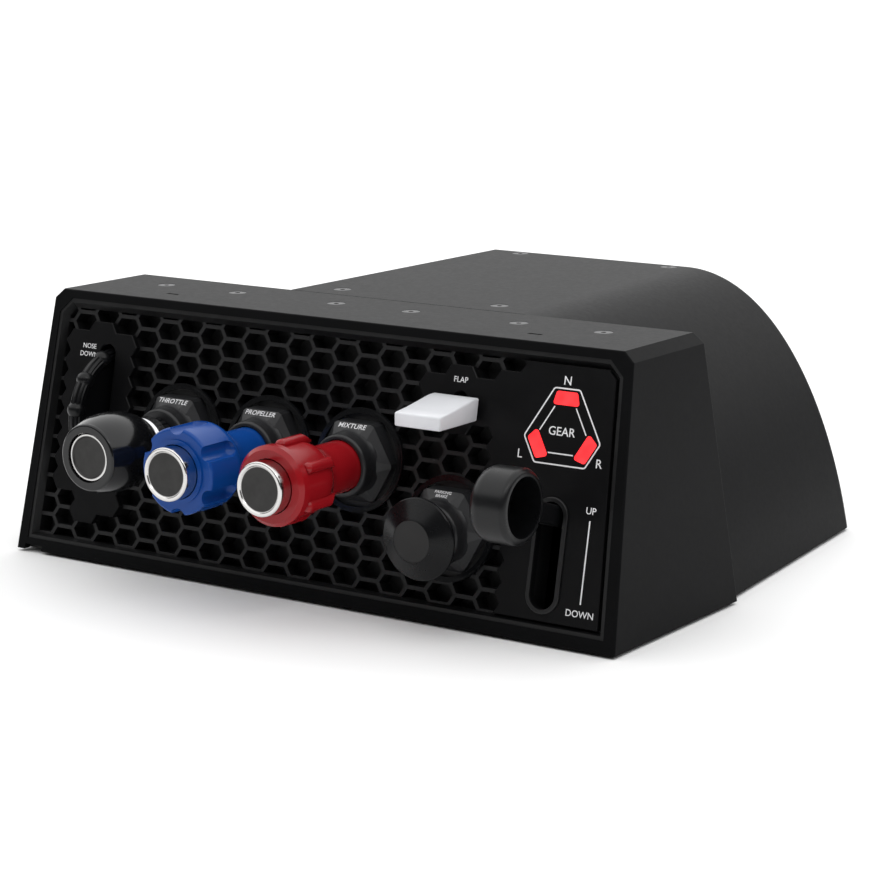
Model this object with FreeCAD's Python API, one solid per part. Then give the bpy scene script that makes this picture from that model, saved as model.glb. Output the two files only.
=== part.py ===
import FreeCAD, Part
import math
import os
from FreeCAD import Placement, Rotation, Vector

# Desktop throttle quadrant: a leaning front panel with push-pull controls, a trim wheel,
# a flap paddle and a gear lever, in a wedge housing with a rounded housing behind it.
# Millimetres. X runs along the panel, Y to the back, Z up. The housings are laid out from the
# foot of the front face; place() then moves everything so that the origin is on the desk,
# under the middle of the front foot strip.

# ---------------------------------------------------------------- driving dimensions
BASE_WIDTH = 332.0          # front housing, at the desk
TOP_WIDTH = 308.0           # flat of the top, between its edge bevels
HEIGHT = 123.7
LEAN = 11.3                 # degrees, front face and rear face alike
CONTROL_DEPTH = 84.02       # front housing, front to back, level with the push-pull axes
BEVEL_RUN = 5.0
BEVEL_DROP = 4.5
WALL = 3.0
EDGE_ROUND = 0.8

REAR_LEFT = -63.5           # rear housing's plain left wall
REAR_BACK = 272.0           # foot of the front face to the back wall
REAR_CORNER = 8.0           # upright corners at the back
SHOULDER_FRONT = 66.0       # where the rear top starts to fall, at the front housing
SHOULDER_BACK = 51.0        # and at the back wall
SKIRT_INSET = 0.9           # rear housing's skirt inside the front housing's side
SKIRT_BACK = 144.5          # its half width at the back wall, at the desk

RIM_SIDE_TOP = 4.4          # housing's rim beside its mouth, at the top and at the foot
RIM_SIDE_FOOT = 5.8
RIM_TOP = 4.1
RIM_FOOT = 5.0
MOUTH_CORNER = 6.8
PANEL_RECESS = 3.7          # face of the housing to the front of the cell webs
PANEL_THICK = 10.0
PANEL_LAP = 1.0             # panel's edge behind the rim
FRAME_LIP = 1.5             # bezel frame: flat lip, then a slope down to the panel
FRAME_SETBACK = 0.4
FRAME_SIDE = 3.5
FRAME_TOP = 4.2
FRAME_FOOT = 3.0

CELL_PITCH_X = 12.68        # column to column
CELL_PITCH_V = 9.34         # row to row
CELL_FLAT = 9.70            # length of a cell's top and bottom side
CELL_X0 = -140.75           # centre of the first cell of the first full column
CELL_V0 = 110.8
CELL_WEB = 1.8
CELL_DEPTH = 8.0
CELL_COLUMNS = range(-1, 24)
CELL_ROWS = range(-1, 12)

PLATE_THICK = 2.9           # legend plates lying on the cells
PLATE_EDGE = 1.0            # plate's edge past the middle of the webs
PLATE_BEVEL = 0.35
TRIM_PLATE_CELLS = {0: (1, 8), 1: (0, 9), 2: (1, 9)}
GEAR_PLATE_CELLS = {16: (1, 2), 17: (0, 2), 18: (1, 2), 19: (0, 5)}
GEAR_PLATE_COLUMN = 20      # from here on the gear plate covers every row
SLIDE = 0.3                 # gap between parts that pass each other
FIT = 0.05                  # radial clearance of a shaft in its bore

CONTROL_STEP = 50.8
CONTROL_V = 64.6            # height of the push-pull axes along the panel
BRAKE_V = 40.9
RING_R = 23.35
RING_BORE = 20.8
RING_THICK = 1.6
BUSHING_FLATS = 35.0        # across the flats, at the panel
BUSHING_SHOULDER = 4.6      # panel to where the flats start to slope
BUSHING_NOSE = 16.2         # panel to the bushing's front
COLLAR_R = 14.1
SLEEVE_R = 12.4
NUT_FLATS = 30.0
SHAFT_R = 4.5
PUSH_TRAVEL = 50.0
BRAKE_TRAVEL = 30.0
STOP_THICK = 3.0
STOP_R = 8.0

KNOB_FRONT = 66.4           # panel to the knob's front, along the axis
KNOB_LOBES = 6
BUTTON_R = 11.86
BUTTON_PROUD = 7.1
THROTTLE_FRONT = 66.0
THROTTLE_BUTTON_R = 10.96
THROTTLE_BACK = 29.6
THROTTLE_R = 18.1
THROTTLE_RIM_R = 15.2

BRAKE_FRONT = 29.6
BRAKE_CAP_R = 9.25
BRAKE_R = 18.2

TRIM_X = 30.4 - TOP_WIDTH / 2
TRIM_V = 68.5
TRIM_RING_R = 28.7
TRIM_TUBE_R = 3.2
TRIM_BALL_R = 4.15
TRIM_BALLS = 12
TRIM_SET_BACK = 8.0         # wheel centre behind the cell webs, square to them
TRIM_RISE = 0.5             # and above the middle of its slot
TRIM_SLOT_HALF = 4.7
TRIM_AXLE_R = 2.0

FLAP_X = 75.8
FLAP_V = 94.6
FLAP_PIVOT_BACK = 16.0
FLAP_SLOT_HALF = 3.4
FLAP_SLOT_LONG = 5.9        # half its length, round ends included

GEAR_X = TOP_WIDTH / 2 - 26.0
GEAR_SLOT_V = 36.3
GEAR_SLOT_HALF = 6.2
GEAR_SLOT_LONG = 22.9
GEAR_PIVOT_BACK = 57.4
GEAR_SWING = 17.1           # degrees above level, at rest
GEAR_REACH = 98.3           # pivot to the middle of the round knob
GEAR_KNOB_R = 16.2
GEAR_KNOB_WIDE = 19.0
GEAR_ARM_THICK = 7.0
GEAR_ARM_TALL = 9.0

LAMP_X = GEAR_X + 0.85
LAMP_RING_R = 13.85

FOOT_HEIGHT = 1.5
FOOT_SETBACK = 15.0
BASE_THICK = 3.0

# ---------------------------------------------------------------- worked-out places
SIN = math.sin(math.radians(LEAN))
COS = math.cos(math.radians(LEAN))
TAN = SIN / COS
BASE_DEPTH = CONTROL_DEPTH + 2 * CONTROL_V * SIN
TOP_DEPTH = BASE_DEPTH - 2 * HEIGHT * TAN
LAMP_V = HEIGHT / COS - 37.04
PANEL_FOOT_Y = PANEL_RECESS / COS
CONTROL_X = [CONTROL_STEP * (i - 1.5) for i in range(4)]
CONTROLS = [(CONTROL_X[0], CONTROL_V), (CONTROL_X[1], CONTROL_V),
            (CONTROL_X[2], CONTROL_V), (CONTROL_X[3], BRAKE_V)]
BIG = 400.0


def place(shape):
    shape = shape.copy()
    shape.translate(Vector(0, -FOOT_SETBACK, FOOT_HEIGHT))
    return shape


def export(name, *solids):
    shape = solids[0] if len(solids) == 1 else Part.makeCompound(list(solids))
    shape = place(shape)
    shape.exportStep("parts/" + name + ".step")
    print(name, len(shape.Solids), round(shape.Volume, 1), shape.isValid())


def lathe(start, *steps):
    """Turn a closed profile of (distance ahead, radius) points about the axis that points ahead.

    A step of two numbers is a straight line to that point; a step of four numbers is an arc
    through its first pair to its second pair.
    """
    here = Vector(start[1], -start[0], 0)
    first = here
    edges = []
    for step in steps:
        there = Vector(step[-1], -step[-2], 0)
        if len(step) == 4:
            edges.append(Part.Arc(here, Vector(step[1], -step[0], 0), there).toShape())
        else:
            edges.append(Part.makeLine(here, there))
        here = there
    edges.append(Part.makeLine(here, first))
    face = Part.Face(Part.Wire(edges))
    return face.revolve(Vector(0, 0, 0), Vector(0, 1, 0), 360)


def polygon(points):
    return Part.Face(Part.makePolygon(points + points[:1]))


def side_prism(outline, x0, x1):
    """Extrude an outline of (y, z) points from x0 to x1."""
    return polygon([Vector(x0, y, z) for y, z in outline]).extrude(Vector(x1 - x0, 0, 0))


def front_prism(outline, y0, y1):
    """Extrude an outline of (x, z) points from y0 to y1."""
    return polygon([Vector(x, y0, z) for x, z in outline]).extrude(Vector(0, y1 - y0, 0))


def rod(ahead0, ahead1, radius):
    return Part.makeCylinder(radius, ahead1 - ahead0, Vector(0, -ahead0, 0), Vector(0, -1, 0))


def on_panel(shape):
    """From the panel's own frame (X across, -Y out, Z up along it) to the housing's."""
    shape = shape.copy()
    turn = Placement(Vector(0, PANEL_FOOT_Y, 0), Rotation(Vector(1, 0, 0), -LEAN))
    shape.Placement = turn.multiply(shape.Placement)
    return shape


def axis_point(x, v):
    """Where a control's level axis meets the plane of the cell webs."""
    return Vector(x, PANEL_FOOT_Y + v * SIN, v * COS)


def at_control(shape, x, v):
    shape = shape.copy()
    shape.translate(axis_point(x, v))
    return shape


def half_width(z):
    """Half the front housing's width at a height, below the bevel."""
    knee = HEIGHT - BEVEL_DROP
    knee_half = TOP_WIDTH / 2 + BEVEL_RUN
    return BASE_WIDTH / 2 + (knee_half - BASE_WIDTH / 2) * z / knee


def rounded_slot(x, v, half, long, y0, y1):
    """A slot in the panel's frame with round ends, upright along the panel."""
    straight = long - half
    body = Part.makeBox(2 * half, y1 - y0, 2 * straight, Vector(x - half, y0, v - straight))
    for end in (v - straight, v + straight):
        body = body.fuse(Part.makeCylinder(half, y1 - y0, Vector(x, y0, end), Vector(0, 1, 0)))
    return body.removeSplitter()


# ---------------------------------------------------------------- housings
def housing_side_outline(inset):
    """The front housing's side profile, moved in by a wall on the slopes and the top."""
    slope = inset / COS
    top = HEIGHT - inset
    return [(slope, 0 if inset == 0 else -1),
            (slope + top * TAN, top),
            (BASE_DEPTH - slope - top * TAN, top),
            (BASE_DEPTH - slope, 0 if inset == 0 else -1)]


def housing_front_outline(inset):
    knee = HEIGHT - BEVEL_DROP
    foot = 0 if inset == 0 else -1
    return [(-half_width(0) + inset, foot), (half_width(0) - inset, foot),
            (half_width(knee) - inset, knee - 0.4 * inset),
            (TOP_WIDTH / 2 - 0.4 * inset, HEIGHT - inset),
            (-TOP_WIDTH / 2 + 0.4 * inset, HEIGHT - inset),
            (-half_width(knee) + inset, knee - 0.4 * inset)]


def mouth_outline(side, top, foot):
    """The housing's mouth in the panel's frame as (x, v) points, moved in by three margins."""
    mouth_low = RIM_FOOT
    mouth_high = HEIGHT / COS - PANEL_RECESS * TAN - RIM_TOP
    foot_half = half_width(mouth_low * COS) - RIM_SIDE_FOOT
    top_half = half_width(mouth_high * COS) - RIM_SIDE_TOP
    fall = (foot_half - top_half) / (mouth_high - mouth_low)
    low = mouth_low + foot
    high = mouth_high - top
    corner = MOUTH_CORNER - 0.8 * side
    low_half = foot_half - fall * foot - side
    knee_half = foot_half - fall * (high - corner - mouth_low) - side
    return [(-low_half, low), (low_half, low), (knee_half, high - corner),
            (knee_half - corner, high), (-knee_half + corner, high), (-knee_half, high - corner)]


def front_housing():
    outer = side_prism(housing_side_outline(0), -BIG / 2, BIG / 2)
    outer = outer.common(front_prism(housing_front_outline(0), -BIG, BIG))
    edges = [e for e in outer.Edges if e.BoundBox.ZMin > 1.0 and abs(e.BoundBox.XLength) > 1.0]
    uprights = [e for e in outer.Edges if e.BoundBox.ZLength > HEIGHT / 2]
    outer = outer.makeFillet(EDGE_ROUND, edges + uprights)
    cavity = side_prism(housing_side_outline(WALL), -BIG / 2, BIG / 2)
    behind_panel = on_panel(Part.makeBox(BIG, BIG, BIG, Vector(-BIG / 2, 0, -BIG / 2)))
    cavity = cavity.common(front_prism(housing_front_outline(WALL), -BIG, BIG))
    shell = outer.cut(cavity.common(behind_panel))
    mouth = on_panel(front_prism(mouth_outline(0, 0, 0), -BIG / 8, WALL))
    shell = shell.cut(mouth)
    for x, y in front_screw_places():
        shell = shell.cut(Part.makeCylinder(SCREW_HEAD_R + 0.1, 2.0, Vector(x, y, HEIGHT - 2.0)))
    for x in (-LATCH_X, LATCH_X):
        slot = Part.makeBox(LATCH_LONG, LATCH_WIDE, 1.5,
                            Vector(x - LATCH_LONG / 2, LATCH_Y - LATCH_WIDE / 2, HEIGHT - 1.5))
        shell = shell.cut(slot)
    shell = shell.cut(cable_pass())
    notch = Part.makeBox(NOTCH_LONG, 2 * WALL, NOTCH_TALL, Vector(NOTCH_X, -1.0, -0.1))
    return shell.cut(notch)


SCREW_HEAD_R = 4.2
SCREW_X = (20.9, 78.6, 121.9)
SCREW_BACK = 37.6           # from the front edge of the top
LATCH_X = 100.4
LATCH_Y = 40.8
LATCH_LONG = 7.0
LATCH_WIDE = 1.8
NOTCH_X = -161.0
NOTCH_LONG = 10.5
NOTCH_TALL = 2.6
CABLE_PASS_R = 8.0
REAR_SCREW_X = 44.5
REAR_SCREW_Y = (BASE_DEPTH - HEIGHT * TAN + 15.2, REAR_BACK - 12.8)


def front_screw_places():
    y = HEIGHT * TAN + SCREW_BACK
    return [(side * x, y) for x in SCREW_X for side in (-1, 1)]


def rear_profile(y, shoulder, skirt, inset):
    """The rear housing's outline at one depth: plain left wall, flat top, curved right side."""
    top = HEIGHT - inset
    foot = 0 if inset == 0 else -1
    left = REAR_LEFT + inset
    start = Vector(shoulder, y, top)
    end = Vector(skirt - inset, y, foot)
    curve = Part.BezierCurve()
    reach = skirt - shoulder
    curve.setPoles([start, Vector(shoulder + 0.52 * reach - inset, y, top),
                    Vector(shoulder + 0.88 * reach - inset, y, 0.5 * top), end])
    edges = [Part.makeLine(Vector(left, y, foot), Vector(left, y, top)),
             Part.makeLine(Vector(left, y, top), start),
             curve.toShape(),
             Part.makeLine(end, Vector(left, y, foot))]
    return Part.Wire(edges)


def rear_body(inset):
    """The rear housing's outer form, or its cavity for an inset, before its front is cut."""
    front_y = BASE_DEPTH - HEIGHT * TAN - 5.0
    back_y = REAR_BACK - inset
    run = REAR_BACK - front_y
    skirt_front = half_width(0) - SKIRT_INSET
    drop = (skirt_front - SKIRT_BACK) / run
    lean_in = (SHOULDER_FRONT - SHOULDER_BACK) / run
    wires = []
    for y in (front_y, back_y):
        away = y - front_y
        wires.append(rear_profile(y, SHOULDER_FRONT - lean_in * away, skirt_front - drop * away, inset))
    return Part.makeLoft(wires, True, True)


def behind_front_housing(gap):
    """Everything behind the front housing's leaning rear face."""
    y = BASE_DEPTH + gap
    outline = [(y + 5 * TAN, -5), (y - (HEIGHT + 5) * TAN, HEIGHT + 5), (BIG, HEIGHT + 5), (BIG, -5)]
    return side_prism(outline, -BIG / 2, BIG / 2)


def round_back_corners(body, radius, back):
    corners = [e for e in body.Edges if e.BoundBox.YMin > back - 1 and e.BoundBox.ZLength > HEIGHT / 2]
    return body.makeFillet(radius, corners)


def rear_housing():
    body = round_back_corners(rear_body(0), REAR_CORNER, REAR_BACK)
    hollow = round_back_corners(rear_body(WALL), REAR_CORNER - WALL, REAR_BACK - WALL)
    shell = body.cut(hollow).common(behind_front_housing(0))
    for y in REAR_SCREW_Y:
        for x in (-REAR_SCREW_X, REAR_SCREW_X):
            shell = shell.cut(Part.makeCylinder(SCREW_HEAD_R + 0.1, 2.0, Vector(x, y, HEIGHT - 2.0)))
    return shell.cut(inlet_hole(SLIDE))


INLET_X = 0.0
INLET_Z = 30.0
INLET_WIDE = 9.0
INLET_TALL = 3.3
INLET_DEEP = 7.0


def inlet_hole(grow):
    half = (INLET_TALL + 2.4) / 2 + grow
    wide = (INLET_WIDE - INLET_TALL) / 2
    y0 = REAR_BACK - INLET_DEEP - 2
    body = Part.makeBox(2 * wide, INLET_DEEP + 4, 2 * half, Vector(INLET_X - wide, y0, INLET_Z - half))
    for x in (INLET_X - wide, INLET_X + wide):
        body = body.fuse(Part.makeCylinder(half, INLET_DEEP + 4, Vector(x, y0, INLET_Z), Vector(0, 1, 0)))
    return body.removeSplitter()


def cable_pass():
    """The round hole in the front housing's rear wall for the wiring."""
    return Part.makeCylinder(CABLE_PASS_R, BASE_DEPTH, Vector(0, BASE_DEPTH / 2, INLET_Z), Vector(0, 1, 0))


def data_inlet():
    """A small oval cable socket, flush with the back wall, with its tongue."""
    wide = (INLET_WIDE - INLET_TALL) / 2
    shell = inlet_hole(0)
    y1 = REAR_BACK
    side = 4 * INLET_WIDE
    keep = Part.makeBox(side, INLET_DEEP, side, Vector(INLET_X - side / 2, y1 - INLET_DEEP, INLET_Z - side / 2))
    shell = shell.common(keep)
    half = INLET_TALL / 2
    deep = INLET_DEEP - 1.0
    mouth = Part.makeBox(2 * wide, deep, 2 * half, Vector(INLET_X - wide, y1 - deep, INLET_Z - half))
    for x in (INLET_X - wide, INLET_X + wide):
        mouth = mouth.fuse(Part.makeCylinder(half, deep, Vector(x, y1 - deep, INLET_Z), Vector(0, 1, 0)))
    tongue = Part.makeBox(2 * wide, deep - 1.0, 0.8, Vector(INLET_X - wide, y1 - deep, INLET_Z - 0.4))
    return shell.cut(mouth).fuse(tongue).removeSplitter()


# ---------------------------------------------------------------- front panel
def bezel_frame():
    """The frame in the housing's mouth: a flat lip, then a slope down to the panel."""
    outer = front_prism(mouth_outline(0, 0, 0), -PANEL_RECESS + FRAME_SETBACK, 0)
    wires = []
    for margins, y in (((FRAME_LIP, FRAME_LIP, FRAME_LIP), -PANEL_RECESS),
                       ((FRAME_SIDE, FRAME_TOP, FRAME_FOOT), 0.0)):
        points = [Vector(x, y, v) for x, v in mouth_outline(*margins)]
        wires.append(Part.makePolygon(points + points[:1]))
    slope = Part.makeLoft(wires, True, True)
    return on_panel(outer.cut(slope))


def cell_centre(column, row):
    drop = CELL_PITCH_V / 2 if column % 2 else 0.0
    return CELL_X0 + CELL_PITCH_X * column, CELL_V0 - CELL_PITCH_V * row - drop


def cell_outline(column, row, grow):
    """A six-sided cell as (x, v) points; grow moves every side out from the webs' middle."""
    x, v = cell_centre(column, row)
    tall = CELL_PITCH_V / 2
    point = CELL_PITCH_X - CELL_FLAT / 2
    slant = math.hypot(point - CELL_FLAT / 2, tall)
    top = tall + grow
    reach = point + grow * slant / tall
    flat = CELL_FLAT / 2 + grow * (slant - (point - CELL_FLAT / 2)) / tall
    return [(x - flat, v - top), (x + flat, v - top), (x + reach, v),
            (x + flat, v + top), (x - flat, v + top), (x - reach, v)]


def under_a_plate(column, row):
    if column >= GEAR_PLATE_COLUMN:
        return True
    rows = TRIM_PLATE_CELLS.get(column, GEAR_PLATE_CELLS.get(column))
    return rows is not None and rows[0] <= row <= rows[1]


def clear_of_rings(column, row):
    x, v = cell_centre(column, row)
    for ring_x, ring_v in CONTROLS:
        if math.hypot(x - ring_x, v - ring_v) + CELL_PITCH_X / 2 < RING_R:
            return False
    return True


def control_panel():
    """The panel behind the mouth, its visible field cut into blind six-sided cells."""
    slab = front_prism(mouth_outline(-PANEL_LAP, -PANEL_LAP, -PANEL_LAP), 0, PANEL_THICK)
    pockets = []
    for column in CELL_COLUMNS:
        for row in CELL_ROWS:
            if not under_a_plate(column, row) and clear_of_rings(column, row):
                pockets.append(front_prism(cell_outline(column, row, -CELL_WEB / 2), -1, CELL_DEPTH))
    field = front_prism(mouth_outline(FRAME_SIDE, FRAME_TOP, FRAME_FOOT), -1, CELL_DEPTH)
    for x, v in CONTROLS:
        land = Part.makeCylinder(RING_R - RING_LAP, BIG / 10, Vector(x, -1, v), Vector(0, 1, 0))
        field = field.cut(land)
    cut = Part.makeCompound(pockets).common(field)
    slab = slab.cut(cut)
    slab = slab.cut(slot_box(TRIM_X, TRIM_V, TRIM_WELL_HALF, TRIM_WELL_LONG))
    slab = slab.cut(slot_box(FLAP_X, FLAP_V, FLAP_SLOT_HALF + 1, FLAP_SLOT_LONG + 2))
    slab = slab.cut(slot_box(GEAR_X, GEAR_SLOT_V, GEAR_SLOT_HALF, GEAR_SLOT_LONG + 1))
    slab = on_panel(slab)
    for x, v in CONTROLS:
        bore = Part.makeCylinder(SLEEVE_R + FIT, BIG, Vector(0, -BIG / 2, 0), Vector(0, 1, 0))
        slab = slab.cut(at_control(bore, x, v))
    above = Part.makeBox(2 * BIG, 2 * BIG, BIG, Vector(-BIG, -BIG, BASE_THICK + SLIDE))
    return slab.common(above)


RING_LAP = 1.2
TRIM_WELL_HALF = 9.0
TRIM_WELL_LONG = 36.0


def slot_box(x, v, half, long):
    """A square-ended opening through the panel, in the panel's frame."""
    return Part.makeBox(2 * half, BIG / 4, 2 * long, Vector(x - half, -BIG / 8, v - long))


def plate_of_cells(cells, extra):
    """A plate whose edge follows the cells it covers, its front edge bevelled all round."""
    blocks = list(extra)
    for column, row in cells:
        blocks.append(bevelled(cell_outline(column, row, PLATE_EDGE),
                               cell_outline(column, row, PLATE_EDGE - PLATE_BEVEL)))
    plate = blocks[0].fuse(blocks[1:]).removeSplitter()
    outlines = []
    for gap in (SLIDE, SLIDE + PLATE_BEVEL):
        outlines.append(mouth_outline(FRAME_SIDE + gap, FRAME_TOP + gap, FRAME_FOOT + gap))
    return plate.common(bevelled(*outlines))


def bevelled(outline, front_outline):
    """A block as thick as a plate that narrows to a second outline at its front."""
    shoulder = PLATE_BEVEL - PLATE_THICK
    wires = []
    for points, y in ((outline, shoulder), (front_outline, -PLATE_THICK)):
        corners = [Vector(x, y, v) for x, v in points]
        wires.append(Part.makePolygon(corners + corners[:1]))
    return front_prism(outline, shoulder, 0).fuse(Part.makeLoft(wires, True, True))


def countersunk_slot(x, v, half, long):
    """A cutter for a round-ended slot through a plate, with a bevelled front edge."""
    cutter = rounded_slot(x, v, half, long, -PLATE_THICK - 1, 1)
    wide = rounded_slot(x, v, half + PLATE_BEVEL, long + PLATE_BEVEL, -PLATE_THICK - 1, PLATE_BEVEL - PLATE_THICK)
    edges = [e for e in wide.Edges if e.BoundBox.YMin > PLATE_BEVEL - PLATE_THICK - 0.01]
    return cutter.fuse(wide.makeChamfer(0.98 * PLATE_BEVEL, edges))


def listed_cells(table):
    return [(column, row) for column, rows in table.items() for row in range(rows[0], rows[1] + 1)]


def trim_plate():
    plate = plate_of_cells(listed_cells(TRIM_PLATE_CELLS), [])
    return on_panel(plate.cut(countersunk_slot(TRIM_X, TRIM_V, TRIM_SLOT_HALF, TRIM_SLOT_LONG)))


TRIM_SLOT_LONG = 33.2


def gear_plate():
    cells = listed_cells(GEAR_PLATE_CELLS)
    cells = cells + [(GEAR_PLATE_COLUMN, row) for row in CELL_ROWS]
    left = cell_centre(GEAR_PLATE_COLUMN, 0)[0] - CELL_FLAT / 2
    block = [(left, 0), (BASE_WIDTH / 2, 0), (BASE_WIDTH / 2, HEIGHT), (left, HEIGHT)]
    plate = plate_of_cells(cells, [front_prism(block, -PLATE_THICK, 0)])
    plate = plate.cut(rounded_slot(GEAR_X, GEAR_SLOT_V, GEAR_SLOT_HALF, GEAR_SLOT_LONG, -9, 1))
    plate = plate.cut(countersunk_slot(FLAP_X, FLAP_V, FLAP_SLOT_HALF, FLAP_SLOT_LONG))
    x, v = CONTROLS[3]
    plate = plate.cut(Part.makeCylinder(RING_R + SLIDE, BIG / 10, Vector(x, -BIG / 20, v), Vector(0, 1, 0)))
    for lamp in lamp_blocks():
        plate = plate.cut(lamp)
    return on_panel(plate)


LAMP_LONG = 13.0
LAMP_SHORT = 10.0
LAMP_TALL = 5.8
LAMP_PROUD = 0.4
LAMP_DEEP = 1.6
LAMP_CORNER = 1.2


def lamp_blocks():
    """Three tapered lenses in a ring, in the panel's frame."""
    low = LAMP_RING_R - LAMP_TALL / 2
    high = LAMP_RING_R + LAMP_TALL / 2
    outline = [(-LAMP_LONG / 2, low), (LAMP_LONG / 2, low), (LAMP_SHORT / 2, high), (-LAMP_SHORT / 2, high)]
    blocks = []
    for turn in range(3):
        block = front_prism(outline, -PLATE_THICK - LAMP_PROUD, -PLATE_THICK + LAMP_DEEP)
        uprights = [e for e in block.Edges if e.BoundBox.YLength > LAMP_DEEP]
        block = block.makeFillet(LAMP_CORNER, uprights)
        block.rotate(Vector(0, 0, 0), Vector(0, 1, 0), 120 * turn)
        block.translate(Vector(LAMP_X, 0, LAMP_V))
        blocks.append(block)
    return blocks


RIM_WIDE = 2.0
RIM_TALL = 1.0


def gear_slot_rim():
    outer = rounded_slot(GEAR_X, GEAR_SLOT_V, GEAR_SLOT_HALF + RIM_WIDE, GEAR_SLOT_LONG + RIM_WIDE,
                         -PLATE_THICK - RIM_TALL, -PLATE_THICK)
    inner = rounded_slot(GEAR_X, GEAR_SLOT_V, GEAR_SLOT_HALF, GEAR_SLOT_LONG,
                         -PLATE_THICK - 2 * RIM_TALL, 0)
    edges = [e for e in outer.Edges if e.BoundBox.YMax < -PLATE_THICK - RIM_TALL + 0.01]
    outer = outer.makeFillet(0.5 * RIM_TALL, edges)
    return on_panel(outer.cut(inner))


# ---------------------------------------------------------------- bushings and rings
def ring(x, v):
    """The flat ring round a bushing, lying on the cell webs."""
    inner = Part.makeCylinder(RING_BORE, 3 * RING_THICK, Vector(x, -2 * RING_THICK, v), Vector(0, 1, 0))
    body = Part.makeCylinder(RING_R, RING_THICK, Vector(x, -RING_THICK, v), Vector(0, 1, 0))
    step = Part.makeCylinder(RING_R - RING_STEP, RING_THICK, Vector(x, -RING_THICK - RING_RISE, v),
                             Vector(0, 1, 0))
    return on_panel(body.fuse(step).removeSplitter().cut(inner))


RING_STEP = 0.9
RING_RISE = 0.5
BUSHING_CORNER_R = 19.7
SLOPE_END_R = 12.6
SKIRT_BEHIND = 8.0
RECESS_R = 12.0
RECESS_DEEP = 5.0
NECK_R = 6.5
NECK_FRONT = 22.2
SLEEVE_BACK = 20.0
NUT_BACK_AT = 18.0


def hexagon(across, ahead):
    """A wire of a level-topped hexagon across its flats, at a distance ahead."""
    corner = across / 2 / math.cos(math.radians(30))
    points = []
    for i in range(7):
        turn = math.radians(60 * i)
        points.append(Vector(corner * math.cos(turn), -ahead, corner * math.sin(turn)))
    return Part.makePolygon(points)


def bushing(x, v, neck):
    """A tapered six-sided guide with a round lip, its sleeve going through the panel."""
    fall = BUSHING_FLATS / 2 - SLOPE_END_R
    prism = Part.Face(hexagon(BUSHING_FLATS, -SKIRT_BEHIND))
    prism = prism.extrude(Vector(0, -SKIRT_BEHIND - BUSHING_SHOULDER, 0))
    slope = Part.makeLoft([hexagon(BUSHING_FLATS, BUSHING_SHOULDER),
                           hexagon(2 * SLOPE_END_R, BUSHING_SHOULDER + fall)], True, True)
    cone = lathe((-SKIRT_BEHIND, 0), (-SKIRT_BEHIND, BUSHING_CORNER_R), (BUSHING_SHOULDER, BUSHING_CORNER_R),
                 (BUSHING_SHOULDER + 0.75 * fall, BUSHING_CORNER_R - fall), (BUSHING_NOSE, 0))
    block = prism.fuse(slope).common(cone)
    flare = BUSHING_SHOULDER + 3.0
    collar = lathe((0, 0), (0, COLLAR_R + 0.9), (flare, COLLAR_R + 0.9),
                   (flare + 1.6, COLLAR_R + 0.2, flare + 4.0, COLLAR_R), (BUSHING_NOSE - 1.5, COLLAR_R),
                   (BUSHING_NOSE - 0.4, COLLAR_R - 0.5, BUSHING_NOSE, COLLAR_R - 1.5), (BUSHING_NOSE, 0))
    block = block.fuse(collar)
    block = at_control(block, x, v)
    front_of_panel = on_panel(Part.makeBox(BIG, BIG, BIG, Vector(-BIG / 2, -BIG, -BIG / 2)))
    block = block.common(front_of_panel)
    sleeve = rod(-SLEEVE_BACK, BUSHING_NOSE / 2, SLEEVE_R)
    block = block.fuse(at_control(sleeve, x, v))
    if neck:
        block = block.fuse(at_control(rod(0, NECK_FRONT, NECK_R), x, v))
    else:
        recess = rod(BUSHING_NOSE - RECESS_DEEP, BUSHING_NOSE + 1, RECESS_R)
        block = block.cut(at_control(recess, x, v))
    bore = rod(-BIG / 4, BIG / 4, SHAFT_R + FIT)
    return block.cut(at_control(bore, x, v)).removeSplitter()


def panel_nut(x, v):
    """The nut that holds a bushing, its front cut to lie on the leaning panel."""
    wire = hexagon(NUT_FLATS, -NUT_BACK_AT)
    nut = Part.Face(wire).extrude(Vector(0, -NUT_BACK_AT, 0))
    nut = at_control(nut.cut(rod(-BIG / 4, BIG / 4, SLEEVE_R)), x, v)
    behind = on_panel(Part.makeBox(BIG, BIG, BIG, Vector(-BIG / 2, PANEL_THICK, -BIG / 2)))
    return nut.common(behind)


# ---------------------------------------------------------------- push-pull controls
SHAFT_HEAD_R = 6.5
SHAFT_RING_R = 7.5
KNOB_REAR = 14.2
HEAD_AT = 50.3
HEAD_THICK = 2.0
CHAMBER_R = 7.0
CHAMBER_FRONT = 53.0
POCKET_FLOOR = 56.7
POST_R = 2.5
BUTTON_BACK = 60.0
BUTTON_TRAVEL = 0.3
THROTTLE_FLANGE_R = 11.9
THROTTLE_FLANGE_FRONT = 61.6


def shaft(travel, front, knob_ring, head):
    """A pull rod with its stop at the back; optional rings hold a knob that turns on it."""
    stop = SLEEVE_BACK + SLIDE + travel
    body = rod(-stop - STOP_THICK, front, SHAFT_R)
    body = body.fuse(rod(-stop - STOP_THICK, -stop, STOP_R))
    if knob_ring:
        body = body.fuse(rod(KNOB_REAR - SLIDE - 2.0, KNOB_REAR - SLIDE, SHAFT_RING_R))
    if head:
        body = body.fuse(rod(HEAD_AT, HEAD_AT + HEAD_THICK, SHAFT_HEAD_R))
    return body.removeSplitter()


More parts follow.
